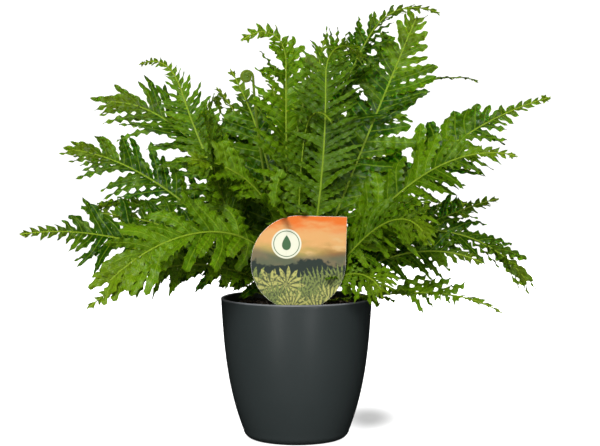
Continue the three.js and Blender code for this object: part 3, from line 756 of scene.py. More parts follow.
@dataclass(frozen=True)
class FloorFinish:
    """Plain studio floor that glows white, with a painted soft shadow of the pot behind it to the right."""

    name: str = "studio_floor"
    white: Colour = (0.30, 0.30, 0.30)
    shadow_glow: float = 0.11
    open_glow: float = 0.96
    shadow_at: Place = (0.082, 0.12, 0.0)
    shadow_reach: Place = (0.055, 0.13, 1.0)
    roughness: float = 0.9
    gloss: float = 0.1

    def material(self) -> bpy.types.Material:
        """Builds the matt white material, whose glow dips in an oval round the painted shadow's middle."""
        sheet = Shader(self.name, self.roughness, self.gloss)
        sheet.surface.inputs["Base Color"].default_value = (*self.white, 1.0)
        sheet.surface.inputs["Emission Color"].default_value = (1.0, 1.0, 1.0, 1.0)
        offset = sheet.node("ShaderNodeVectorMath", {0: sheet.place(), 1: self.shadow_at},
                            operation="SUBTRACT").outputs["Vector"]
        scaled = sheet.node("ShaderNodeVectorMath", {0: offset, 1: self.shadow_reach},
                            operation="DIVIDE").outputs["Vector"]
        away = sheet.node("ShaderNodeVectorMath", {0: scaled}, operation="LENGTH").outputs["Value"]
        # Painted shadow: the glow falls to shadow_glow inside the oval and rises to open_glow outside it.
        gain = self.open_glow - self.shadow_glow
        glow = sheet.line(sheet.ease(away, 0.1, 1.0), gain, self.shadow_glow)
        sheet.tree.links.new(glow, sheet.surface.inputs["Emission Strength"])
        return sheet.material


@dataclass
class Pot:
    """Tapered pot: its outer radius falls by a straight taper and a cubic tuck towards the base."""

    height: float = 0.150
    rim_radius: float = 0.080
    wall: float = 0.0025
    floor: float = 0.003
    flat_radius: float = 0.0448
    foot_radius: float = 0.012
    foot_turn: float = math.radians(66)
    foot_top: float = 0.009
    taper: float = 0.009
    tuck: float = 0.0185
    sides: int = 160
    levels: int = 44

    def radius(self, height: Array) -> Array:
        """Outer radius: rim - taper * d - tuck * d^3, with d the share of the height below the rim."""
        down = 1.0 - np.asarray(height) / self.height
        return self.rim_radius - self.taper * down - self.tuck * down ** 3

    def profile(self) -> Array:
        """Radii and heights: base, rounded foot, outside, rounded lip, inside and floor."""
        lip = self.wall / 2
        bend = np.linspace(0.0, self.foot_turn, 8)
        foot = np.stack([self.flat_radius + self.foot_radius * np.sin(bend),
                         self.foot_radius * (1.0 - np.cos(bend))], -1)
        heights = np.linspace(self.foot_top, self.height - lip, self.levels)
        outside = np.stack([self.radius(heights), heights], -1)
        turn = np.linspace(0.0, math.pi, 9)[1:-1]
        middle = self.radius(self.height - lip) - lip
        round_lip = np.stack([middle + lip * np.cos(turn), self.height - lip + lip * np.sin(turn)], -1)
        inner_heights = np.linspace(self.height - lip, 0.008, 16)
        inside = np.stack([self.radius(inner_heights) - self.wall, inner_heights], -1)
        return np.vstack([[0.0, 0.0], [self.flat_radius * 0.6, 0.0], foot, outside, round_lip,
                          inside, [self.flat_radius, self.floor], [0.0, self.floor]])

    def build(self) -> None:
        """Makes the pot."""
        draft = MeshDraft("fern_pot")
        points, faces, uv = revolve(self.profile(), self.sides)
        draft.add(points, faces, uv)
        draft.build([PotFinish().material()], Slot.POT, "pot", sharp=40.0)


@dataclass
class Soil:
    """Potting soil: an uneven top with crumbs, which fills the pot round the crown's pocket."""

    edge_level: float = 0.141
    crown_level: float = 0.143
    pocket: float = 0.0245
    pocket_floor: float = 0.129
    room: float = 0.0005
    sides: int = 120
    rings: int = 30
    crumbs: int = 520

    def level(self, points: Array, radius: float) -> Array:
        """Height of the soil at places: it falls from the crown to the edge, with soft clods."""
        away = np.hypot(points[..., 0], points[..., 1])
        share = smooth((away - self.pocket) / (radius - self.pocket))
        flat = np.stack([points[..., 0], points[..., 1], np.zeros_like(away)], -1)
        clods = ripple(flat, 11, 0.022) * 0.0009 + ripple(flat, 12, 0.008) * 0.0005
        return self.crown_level + (self.edge_level - self.crown_level) * share + clods

    def build(self, pot: Pot) -> None:
        """Makes the soil inside a pot.

        Args:
            pot: The pot that it fills.
        """
        heights = np.array([0.009, 0.021, 0.036, 0.057, 0.077, 0.100, 0.123, self.edge_level])
        outer = np.stack([pot.radius(heights) - pot.wall - self.room, heights], -1)
        edge = outer[-1, 0]
        across = np.linspace(edge, self.pocket, self.rings)[1:]
        top = np.stack([across, np.full(len(across), self.crown_level)], -1)
        low = pot.floor + self.room
        profile = np.vstack([[0.0, low], [pot.flat_radius - 0.001, low], outer, top,
                             [self.pocket, self.pocket_floor], [0.0, self.pocket_floor]])
        points, faces, uv = revolve(profile, self.sides)
        away = np.hypot(points[:, 0], points[:, 1])
        on_top = (points[:, 2] > self.edge_level - 0.001) & (away > self.pocket * 0.99)
        points[on_top, 2] = self.level(points[on_top], edge)
        draft = MeshDraft("potting_soil")
        draft.add(points, faces, uv)
        self.add_crumbs(draft, edge)
        draft.build([SoilFinish().material()], Slot.SOIL, "soil", sharp=70.0)

    def add_crumbs(self, draft: MeshDraft, edge: float) -> None:
        """Strews crumbs over the top: uneven twenty sided lumps, each turned its own way.

        Args:
            draft: The soil's draft.
            edge: Radius of the soil's top.
        """
        rng = np.random.default_rng(21)
        golden = (1 + math.sqrt(5)) / 2
        signs = [(a, b) for a in (-1, 1) for b in (-1, 1)]
        base = unit(np.array([(a, b * golden, 0) for a, b in signs] + [(0, a, b * golden) for a, b in signs]
                             + [(a * golden, 0, b) for a, b in signs], float))
        near = np.linalg.norm(base[:, None] - base[None], axis=-1) < 1.1
        trios = np.array([(i, j, k) for i in range(12) for j in range(i + 1, 12) for k in range(j + 1, 12)
                          if near[i, j] and near[j, k] and near[i, k]])
        first, second, third = (base[trios[:, k]] for k in range(3))
        facing = np.sum(np.cross(second - first, third - first) * first, axis=1)
        trios = np.where(facing[:, None] > 0, trios, trios[:, ::-1])
        away = np.sqrt(rng.uniform((self.pocket + 0.003) ** 2, (edge - 0.003) ** 2, self.crumbs))
        turn = rng.uniform(0, 2 * math.pi, self.crumbs)
        size = rng.uniform(0.0007, 0.0021, self.crumbs)
        size = size * rng.choice([1.0, 1.4], self.crumbs, p=[0.85, 0.15])
        axes, _ = np.linalg.qr(rng.normal(size=(self.crumbs, 3, 3)))
        lumps = base[None] * rng.uniform(0.7, 1.25, (self.crumbs, 12, 1))
        lumps = lumps * rng.uniform(0.6, 1.3, (self.crumbs, 1, 3))
        lumps = np.einsum("nij,nkj->nki", axes * np.sign(np.linalg.det(axes))[:, None, None], lumps)
        centre = np.stack([away * np.cos(turn), away * np.sin(turn), np.zeros(self.crumbs)], -1)
        centre[:, 2] = self.level(centre, edge) + size * 0.35
        points = centre[:, None] + lumps * size[:, None, None]
        faces = (trios[None] + (np.arange(self.crumbs) * 12)[:, None, None]).reshape(-1, 3)
        draft.add(points, [faces], np.zeros((self.crumbs * 12, 2)))


@dataclass
class Crown:
    """Short stem: a dome covered with overlapping brown scales."""

    radius: float = CROWN_RADIUS
    centre: float = CROWN_HEIGHT
    floor: float = 0.1293
    scales: int = 300

    def build(self) -> None:
        """Makes the dome and its scales, spaced by the golden angle."""
        lowest = math.acos((self.floor - self.centre) / self.radius)
        lean = np.linspace(lowest, 0.0, 16)
        inner = self.radius - 0.0012
        dome = np.stack([inner * np.sin(lean), self.centre + inner * np.cos(lean)], -1)
        dome[0, 1] = self.floor
        points, faces, uv = revolve(np.vstack([[0.0, self.floor], dome]), 48)
        draft = MeshDraft("fern_crown")
        chance = np.full((len(points), 4), 0.4)
        draft.add(points, faces, uv, chance)
        self.add_scales(draft)
        draft.build([ScaleFinish().material()], Slot.CROWN, "crown", sharp=60.0)

    def add_scales(self, draft: MeshDraft) -> None:
        """Adds lance shaped scales: half width w * sin(pi * u^0.6), rise over the dome as u^1.6.

        Args:
            draft: The crown's draft.
        """
        rng = np.random.default_rng(31)
        n = self.scales
        lens = Lens(6, 3)
        order = (np.arange(n) + 0.5) / n
        lean = np.radians(12 + 76 * np.sqrt(order))
        turn = np.arange(n) * GOLDEN_ANGLE
        out = np.stack([np.sin(lean) * np.cos(turn), np.sin(lean) * np.sin(turn), np.cos(lean)], -1)
        upward = unit(np.array([0, 0, 1.0]) - out * out[:, 2:] + rng.normal(scale=0.25, size=(n, 3)))
        upward = unit(upward - out * np.sum(upward * out, -1, keepdims=True))
        across = np.cross(upward, out)
        long = rng.uniform(0.006, 0.011, n)
        wide = rng.uniform(0.0007, 0.0013, n)
        rise = rng.uniform(0.15, 0.5, n)
        u, v = lens.grid()
        root = np.array([0, 0, self.centre]) + out * (self.radius - 0.0016)
        width = wide[:, None, None, None] * np.maximum(np.sin(math.pi * u ** 0.6), 0.04)
        middle = (root[:, None, None] + upward[:, None, None] * long[:, None, None, None] * u
                  + out[:, None, None] * (long * rise)[:, None, None, None] * u ** 1.6
                  + across[:, None, None] * width * v)
        offset = out[:, None, None] * 0.0002 * rounding(v) * (0.2 + u * (1 - u) * 3)
        points = lens.stack(middle, np.broadcast_to(offset, middle.shape))
        growth = np.zeros((n, lens.count, 4))
        growth[..., 1] = rng.uniform(0, 1, (n, 1))
        draft.add(points, [lens.all_faces(np.ones(n, bool))], lens.coordinates(n), growth)


@dataclass(frozen=True)
class FrondPlan:
    """How a frond leaves the crown and bends: degrees and metres, from the crown to its tip.

    Attributes:
        name: Name of the frond.
        azimuth: Direction that it leaves in, seen from above.
        rise: Angle over the level at its foot.
        length: Length of the rib.
        droop: How far the rise has fallen at the tip.
        lean: Angle of its seat on the crown's dome, from straight up.
        wide: Length of its longest leaflets.
        roll: Turn of the blade about the rib.
        twist: How much further it has turned at the tip.
        sway: Turn of the azimuth from foot to tip.
        curl: Further fall of the rise in the last quarter.
        bend: Power of the share in the droop: the higher, the later it droops.
        stalk: Share of the rib that is bare.
        tone_and_painted_shade: How light its green is, from 0 to 1: partly its own tone, partly painted
            light and shade, darker for fronds that sit in shadow.
        fine: Space between its leaflets, as a share of the usual.
        tail: How it ends.
        full: Width of its leaflets, as a share of the usual.
        over: What the upper side of a rolled frond has on top of that.
        lift_right: Further fold of the leaflets on its right side.
        loose: How far the leaflets' folds differ, up and down.
        foot: Length of the first leaflets, as a share of the longest.
    """

    name: str
    azimuth: float
    rise: float
    length: float
    droop: float
    lean: float
    wide: float = 0.048
    roll: float = 0.0
    twist: float = 0.0
    sway: float = 0.0
    curl: float = 0.0
    bend: float = 1.7
    stalk: float = 0.14
    tone_and_painted_shade: float = 0.5
    fine: float = 1.0
    tail: Tail = Tail.LOBED
    full: float = 1.0
    over: float = 0.0
    lift_right: float = 0.0
    loose: float = 10.0
    foot: float = 0.36


# Each frond's lightness is partly its own tone and partly painted shade: fronds in the plant's shadow get a
# darker green.
FROND_PLANS = [
    FrondPlan("left_broad", 234, 72, 0.271, 117, 39, 0.0525, -34, -10, sway=-36, bend=0.8, stalk=0.2,
              tone_and_painted_shade=0.78, tail=Tail.BRUSH, full=1.45, lift_right=25, loose=14),
    FrondPlan("front_right", -38, 48, 0.208, 84, 57, 0.052, 55, sway=-28, bend=2.6, stalk=0.1, tone_and_painted_shade=0.6,
              fine=0.68, tail=Tail.BRUSH, full=1.15, loose=22),
    FrondPlan("right_tall", 11, 68, 0.317, 1, 23, 0.052, 70, sway=-3, bend=1.4, tone_and_painted_shade=0.34,
              tail=Tail.BLUNT, full=1.2),
    FrondPlan("centre_tall", -36, 75, 0.304, -20, 24, 0.042, -50, sway=-9, curl=137, bend=0.94,
              tone_and_painted_shade=0.62, fine=0.48, tail=Tail.BLUNT, loose=30, foot=0.2),
    FrondPlan("left_arch", 172, 55, 0.323, -18, 34, 0.034, -40, -30, sway=-36, curl=88, bend=1.0,
              tone_and_painted_shade=0.58, fine=0.72),
    FrondPlan("left_upper", 160, 62, 0.303, 54, 25, 0.056, -30, -40, sway=6, curl=9, bend=2.2, tone_and_painted_shade=0.32,
              tail=Tail.BRUSH, over=0.08, foot=0.75),
    FrondPlan("left_middle", 171, 47, 0.293, 43, 48, 0.050, -25, -40, sway=-19, bend=2.0, tone_and_painted_shade=0.28,
              tail=Tail.BRUSH, over=0.1, foot=0.6),
    FrondPlan("left_reach", 198, 27, 0.294, 34, 58, 0.050, -25, -50, sway=12, bend=2.0, tone_and_painted_shade=0.15,
              over=0.15),
    FrondPlan("right_long", 2, 53, 0.339, 39, 38, 0.051, 50, 10, sway=5, bend=1.8, tone_and_painted_shade=0.38, over=0.4,
              loose=14),
    FrondPlan("right_middle", -15, 51, 0.283, 68, 35, 0.052, 45, sway=-5, bend=2.8, tone_and_painted_shade=0.68, over=0.2),
    FrondPlan("right_low_long", 1, 60, 0.270, 115, 50, 0.048, 15, 25, bend=1.06, tone_and_painted_shade=0.2,
              tail=Tail.BRUSH, over=0.1, loose=16),
    FrondPlan("centre_left", 205, 88, 0.316, -4, 17, 0.056, -80, sway=3, curl=128, bend=1.7, tone_and_painted_shade=0.85,
              over=0.12),
    FrondPlan("right_back_tall", 36, 81, 0.374, 36, 11, 0.060, 30, sway=-38, curl=66, bend=1.8,
              tone_and_painted_shade=0.05),
    FrondPlan("left_nod", 217, 46, 0.282, -60, 40, 0.044, -70, sway=44, curl=-130, bend=1.85, tone_and_painted_shade=0.52,
              fine=0.66, full=1.2, loose=16),
    FrondPlan("front_left", 242, 77, 0.214, 74, 25, 0.047, -40, -10, sway=-42, bend=1.4, stalk=0.1,
              tone_and_painted_shade=0.9, fine=0.95, tail=Tail.BLUNT, full=1.3, loose=14),
    FrondPlan("right_lowest", -25, 9.5, 0.216, 36, 61, 0.040, 3, 10, sway=-9, bend=2.8, stalk=0.1,
              tone_and_painted_shade=0.75, fine=1.15, full=0.85, loose=24),
    FrondPlan("right_narrow", 26, 77.5, 0.336, 94, 34, 0.046, sway=-16, bend=2.2),
    FrondPlan("left_low", 210, 46, 0.241, 84, 52, 0.042, -15, -30, bend=0.85, stalk=0.04, tone_and_painted_shade=0.9,
              foot=0.75),
    FrondPlan("left_inner", 134, 77.5, 0.258, 28, 18.6, 0.048, -40, sway=2, bend=1.95, tone_and_painted_shade=0.3,
              full=1.2, foot=0.6),
    FrondPlan("centre_back", 75, 80, 0.300, 35, 18, 0.048, tone_and_painted_shade=0.3),
    FrondPlan("centre_front", 285, 90, 0.226, 30, 17, 0.036, 10, sway=30, curl=105, bend=2.1, tone_and_painted_shade=0.5,
              fine=0.7),
    FrondPlan("front_right_nod", -47, 44, 0.136, 76, 61, 0.034, 35, sway=-20, bend=1.3, stalk=0.25,
              tone_and_painted_shade=0.7, fine=0.62, tail=Tail.BRUSH, full=1.15, loose=22),
    FrondPlan("right_low_middle", -16, 36, 0.196, 62, 52, 0.050, 25, 20, tone_and_painted_shade=0.32),
    FrondPlan("right_shade", 12, 36, 0.232, 24, 54, 0.048, 30, 20, tone_and_painted_shade=0.3),
    FrondPlan("left_shade", 190, 40, 0.214, 36, 46, 0.050, -30, -40, bend=1.5, stalk=0.08, tone_and_painted_shade=0.05,
              foot=0.7),
    FrondPlan("back_left", 126, 60, 0.290, 60, 34, tone_and_painted_shade=0.15, foot=0.6),
    FrondPlan("back_middle", 96, 48, 0.285, 55, 42, tone_and_painted_shade=0.4),
    FrondPlan("back_right", 60, 56, 0.290, 55, 36, tone_and_painted_shade=0.35),
    FrondPlan("back_left_tall", 128, 73, 0.262, 40, 26, tone_and_painted_shade=0.1),
    FrondPlan("back_tall", 100, 70, 0.305, 46, 30, 0.050, tone_and_painted_shade=0.45),
    FrondPlan("back_right_tall", 50, 70, 0.300, 44, 28, tone_and_painted_shade=0.2),
    FrondPlan("back_left_low", 146, 38, 0.280, 50, 54, 0.046, tone_and_painted_shade=0.5, tail=Tail.BRUSH),
    FrondPlan("back_right_low", 36, 38, 0.280, 50, 56, 0.046, tone_and_painted_shade=0.6),
    FrondPlan("back_low", 112, 24, 0.250, 40, 57, 0.044, tone_and_painted_shade=0.5),
]


class RibCurve:
    """Centre line of a rib, which starts on the crown's dome and turns by rise, droop and curl."""

    STEPS = 96
    HALF_WIDTH = (0.0016, 0.0006)
    HALF_HEIGHT = (0.0015, 0.0005)
    CURL_FROM = 0.74
    SEAT_GAP = 0.00035
    SEAT_TILT = 0.0017

    def __init__(self, plan: FrondPlan) -> None:
        """Adds up the heading along the length, step by step, from the seat on the dome."""
        self.plan = plan
        around, lean = math.radians(plan.azimuth), math.radians(plan.lean)
        level = math.sin(lean)
        out = np.array([level * math.cos(around), level * math.sin(around), math.cos(lean)])
        self.shares = np.linspace(0.0, 1.0, self.STEPS + 1)
        heading = self.heading(self.shares)
        tilt = math.sqrt(max(0.0, 1.0 - float(out @ heading[0]) ** 2))
        reach = CROWN_RADIUS + self.SEAT_GAP + self.SEAT_TILT * tilt
        seat = np.array([0.0, 0.0, CROWN_HEIGHT]) + out * reach
        strides = (heading[1:] + heading[:-1]) * (plan.length / self.STEPS / 2)
        self.points = seat + np.vstack([np.zeros(3), np.cumsum(strides, axis=0)])

    def azimuth(self, s: Array) -> Array:
        """Azimuth in radians: the plan's azimuth + sway * s^1.5."""
        return np.radians(self.plan.azimuth + self.plan.sway * np.maximum(s, 0) ** 1.5)

    def heading(self, s: Array) -> Array:
        """Unit heading: its rise is rise - droop * s^bend - curl * smooth(share past the curl's start)."""
        plan = self.plan
        curl = plan.curl * smooth((s - self.CURL_FROM) / (1 - self.CURL_FROM))
        rise = np.radians(plan.rise - plan.droop * np.maximum(s, 0) ** plan.bend - curl)
        around = self.azimuth(s)
        return np.stack([np.cos(rise) * np.cos(around), np.cos(rise) * np.sin(around), np.sin(rise)], -1)

    def at(self, s: Array) -> tuple[Array, Array, Array, Array]:
        """Points and the ahead, side and up directions at shares of the length, each (n, 3)."""
        ahead = self.heading(s)
        before = (np.minimum(s, 0.0) * self.plan.length)[:, None]
        point = along_path(s, self.shares, self.points) + ahead * before
        around = self.azimuth(s)
        level = np.stack([-np.sin(around), np.cos(around), np.zeros_like(around)], -1)
        above = np.cross(ahead, level)
        roll = np.radians(self.plan.roll + self.plan.twist * s)[:, None]
        side = level * np.cos(roll) + above * np.sin(roll)
        up = above * np.cos(roll) - level * np.sin(roll)
        return point, ahead, side, up

    def half_width(self, s: Array) -> Array:
        """Half the rib's width, which falls straight to the tip."""
        foot, tip = self.HALF_WIDTH
        return foot + (tip - foot) * s

    def half_height(self, s: Array) -> Array:
        """Half the rib's height, which falls straight to the tip."""
        foot, tip = self.HALF_HEIGHT
        return foot + (tip - foot) * s


def blade_outline(t: Array, tail: Tail, short: float) -> Array:
    """Leaflet length along the blade: short at the foot, full at 0.3, then the drop to its tail.

    Args:
        t: Shares of the blade, from its first leaflets to the tip.
        tail: How the frond ends.
        short: Length at the foot, as a share of the longest.

    Returns:
        A share of the longest leaflet's length for each t.
    """
    foot = short + (1.0 - short) * smooth(t / 0.3)
    if tail is Tail.BRUSH:
        return foot * (1.0 - 0.55 * smooth((t - 0.68) / 0.32))
    if tail is Tail.BLUNT:
        return foot * (1.0 - 0.68 * smooth((t - 0.64) / 0.36))
    drop = 1.0 - 0.80 * smooth((t - 0.56) / 0.30)
    return foot * drop * (1.0 - 0.5 * smooth((t - 0.86) / 0.14))


def blade_angle(t: Array, tail: Tail) -> Array:
    """Degrees between rib and leaflet: they lean forward to the tip, in a brush more and more."""
    if tail is Tail.BRUSH:
        return 66.0 - 44.0 * t ** 1.6
    if tail is Tail.BLUNT:
        return 68.0 - 20.0 * t ** 2
    return 72.0 - 22.0 * t


class Thicket:
    """Everything that a leaflet should keep clear of, as coarse patches in one search tree."""

    MARGIN = 0.0007
    FIRM = 60

    def __init__(self) -> None:
        """Starts empty."""
        self.points: list[Array] = []
        self.faces: list[Array] = []
        self.owners: list[Array] = []
        self.size = 0
        self.tree: BVHTree | None = None
        self.owner_of = np.zeros(0, int)

    def add(self, grids: Array, owner: int) -> None:
        """Adds surfaces of one owner, (n, rows, columns, 3)."""
        points, faces = self.flatten(grids)
        self.points.append(points)
        self.faces.append(faces + self.size)
        self.owners.append(np.full(len(faces), owner))
        self.size += len(points)
        self.tree = None

    @staticmethod
    def flatten(grids: Array) -> tuple[Array, Array]:
        """Points and quads of surfaces one after the other."""
        n, rows, columns, _ = grids.shape
        quads = grid_faces(rows, columns)
        faces = (quads + (np.arange(n) * rows * columns)[:, None, None]).reshape(-1, 4)
        return grids.reshape(-1, 3), faces

    def crossings(self, grids: Array, owner: int) -> Array:
        """How many patches of others each surface meets.

        Args:
            grids: Surfaces to test, (n, rows, columns, 3).
            owner: Their owner, whose own patches don't count.

        Returns:
            A count for each surface, (n,). Patches of the pot, soil and label weigh more.
        """
        if self.tree is None:
            self.tree = BVHTree.FromPolygons(np.concatenate(self.points).tolist(),
                                             np.concatenate(self.faces).tolist(), epsilon=self.MARGIN)
            self.owner_of = np.concatenate(self.owners)
        points, faces = self.flatten(grids)
        own = BVHTree.FromPolygons(points.tolist(), faces.tolist(), epsilon=self.MARGIN)
        pairs = np.array(own.overlap(self.tree), int).reshape(-1, 2)
        pairs = pairs[self.owner_of[pairs[:, 1]] != owner]
        weight = np.where(self.owner_of[pairs[:, 1]] < 0, self.FIRM, 1)
        return np.bincount(pairs[:, 0] // (len(faces) // len(grids)), weight, minlength=len(grids))


@dataclass
class Leaflets:
    """All leaflets of a frond as arrays, one row each.

    Share is their place along the rib, root where they start, and ahead, side and up are the rib's
    directions there. Flare is the way along their seat on the rib, and seat half its length. Sign is their
    side. Angle and fold are in degrees, turn is the twist to the tip in radians. Length and half are their
    length and half width, height and waves the size and count of their ripples, phase and skew where a
    ripple starts and how it slants. Sweep, sag and hang bend them forward, out of their face and straight
    down. Chance is a draw for the colour. Blunt is 1 for a broad round tip and 0 for a pointed one.
    """

    share: Array
    root: Array
    ahead: Array
    side: Array
    up: Array
    flare: Array
    sign: Array
    angle: Array
    length: Array
    half: Array
    seat: Array
    fold: Array
    sweep: Array
    sag: Array
    hang: Array
    turn: Array
    waves: Array
    height: Array
    phase: Array
    skew: Array
    chance: Array
    blunt: Array

    ARCH = 0.22
    GROOVE = 0.00035
    SCALLOP = 0.21
    WINDING = 0.035
    SUNK = 0.0006

    def pick(self, chosen: Array) -> "Leaflets":
        """The leaflets at some indices."""
        return Leaflets(**{key: value[chosen] for key, value in self.__dict__.items()})

    def directions(self) -> tuple[Array, Array, Array]:
        """Unit directions along each leaflet, towards its front margin and out of its face."""
        tilt = np.radians(self.fold)[:, None]
        spread = self.side * self.sign[:, None]
        across = spread * np.cos(tilt) + self.up * np.sin(tilt)
        normal = self.up * np.cos(tilt) - spread * np.sin(tilt)
        open_by = np.radians(self.angle)[:, None]
        out = self.ahead * np.cos(open_by) + across * np.sin(open_by)
        edge = self.ahead * np.sin(open_by) - across * np.cos(open_by)
        return out, edge, normal

    def surface(self, u: Array, v: Array) -> tuple[Array, Array]:
        """Middle surfaces of the leaflets.

        With w the half width: the point at (u, v) is the root + out * L * u + edge * L * sweep * u^2
        + w * v along the margin's direction. Out of the face it sags by L * sag * u^2, straight down it
        hangs by L * hang * u^2.5, and it arches by 0.22 * w * v^2, with a groove 0.35 mm deep along its
        middle. With a = 2 pi * waves * u + phase + skew * v it ripples by height * |v|^1.3 * sin a, and w
        grows by a share 0.21 * |v| * cos a. It winds sideways and up and down by
        0.035 * L * u * sin(1.7 pi * u + phase). A long leaflet has w = half * (1 - u^3)^0.8 where it is
        pointed and half * (1 - u^7)^0.5 where it is blunt, a lobe half * (1 - u)^0.7, and w widens at the
        root to the whole seat on the rib.

        Args:
            u: Shares along a leaflet.
            v: Places across it, -1 to 1.

        Returns:
            Points and face directions, each (n, len(u), len(v), 3).
        """
        out, edge, normal = (value[:, None, None] for value in self.directions())
        root, flare = self.root[:, None, None], self.flare[:, None, None]
        length, half, waves, phase, skew, blunt, turn, seat, height, sag, sweep, hang = (
            value[:, None, None, None]
            for value in (self.length, self.half, self.waves, self.phase, self.skew, self.blunt, self.turn,
                          self.seat, self.height, self.sag, self.sweep, self.hang))
        u, v = u[None, :, None, None], v[None, None, :, None]
        ripple_at = 2 * math.pi * waves * u + phase + skew * v
        grown = smooth(u / 0.2) * (1.0 - 0.35 * smooth((u - 0.7) / 0.3))
        slender = smooth((length - 0.010) / 0.020)
        long_form = (1.0 - u ** 3) ** 0.8 * (1.0 - blunt) + (1.0 - u ** 7) ** 0.5 * blunt
        width = half * np.maximum((1.0 - u) ** 0.7 * (1.0 - slender) + long_form * slender, 0.05)
        width = width * (1.0 + self.SCALLOP * np.abs(v) * np.cos(ripple_at) * grown)
        seated = 1.0 - smooth(u / 0.16)
        margin = edge * np.cos(turn * u) + normal * np.sin(turn * u)
        reach = margin * width * (1.0 - seated) + flare * seat * seated
        arch = -self.ARCH * width * v ** 2 - self.GROOVE * np.exp(-(v / 0.2) ** 2) * (1 - u)
        lift = height * np.abs(v) ** 1.3 * np.sin(ripple_at) * grown
        wind = self.WINDING * u * np.sin(1.7 * math.pi * u + phase)
        points = (root + out * (length * u - self.SUNK * (1 - u)) + edge * length * (sweep * u ** 2 + wind)
                  + reach * v + normal * (arch + lift - length * sag * u ** 2 - wind * length))
        points[..., 2:] -= length * hang * u ** 2.5
        return points, np.broadcast_to(normal, points.shape)

    def add_to(self, draft: MeshDraft, lens: Lens, thickness: float, taper: float, under: float,
               tone_and_painted_shade: float) -> None:
        """Adds the leaflets as closed blades, half as thick as t * sqrt(1 - v^2) * (1 + taper * (0.5 - u)).

        Args:
            draft: Draft of the piece that they belong to.
            lens: Grid of one leaflet.
            thickness: The t above, half the thickness at a leaflet's centre.
            taper: How much thicker the root is than the tip.
            under: How far the under side has its own colour.
            tone_and_painted_shade: How light the green is, partly the leaf's own tone and partly painted
                light and shade.
        """
        middle, normal = self.surface(lens.u, lens.v)
        u, v = lens.grid()
        offset = normal * thickness * rounding(v) * (1.0 + taper * (0.5 - u))
        offset = np.where((u == 0.0) | (u == 1.0), 0.0, offset)
        n = len(self.share)
        growth = np.zeros((n, lens.count, 4))
        growth[..., 0] = self.share[:, None]
        growth[..., 1] = self.chance[:, None]
        growth[..., 2] = lens.below() * under
        growth[..., 3] = tone_and_painted_shade
        draft.add(lens.stack(middle, offset), [lens.all_faces(self.sign < 0)], lens.coordinates(n), growth)


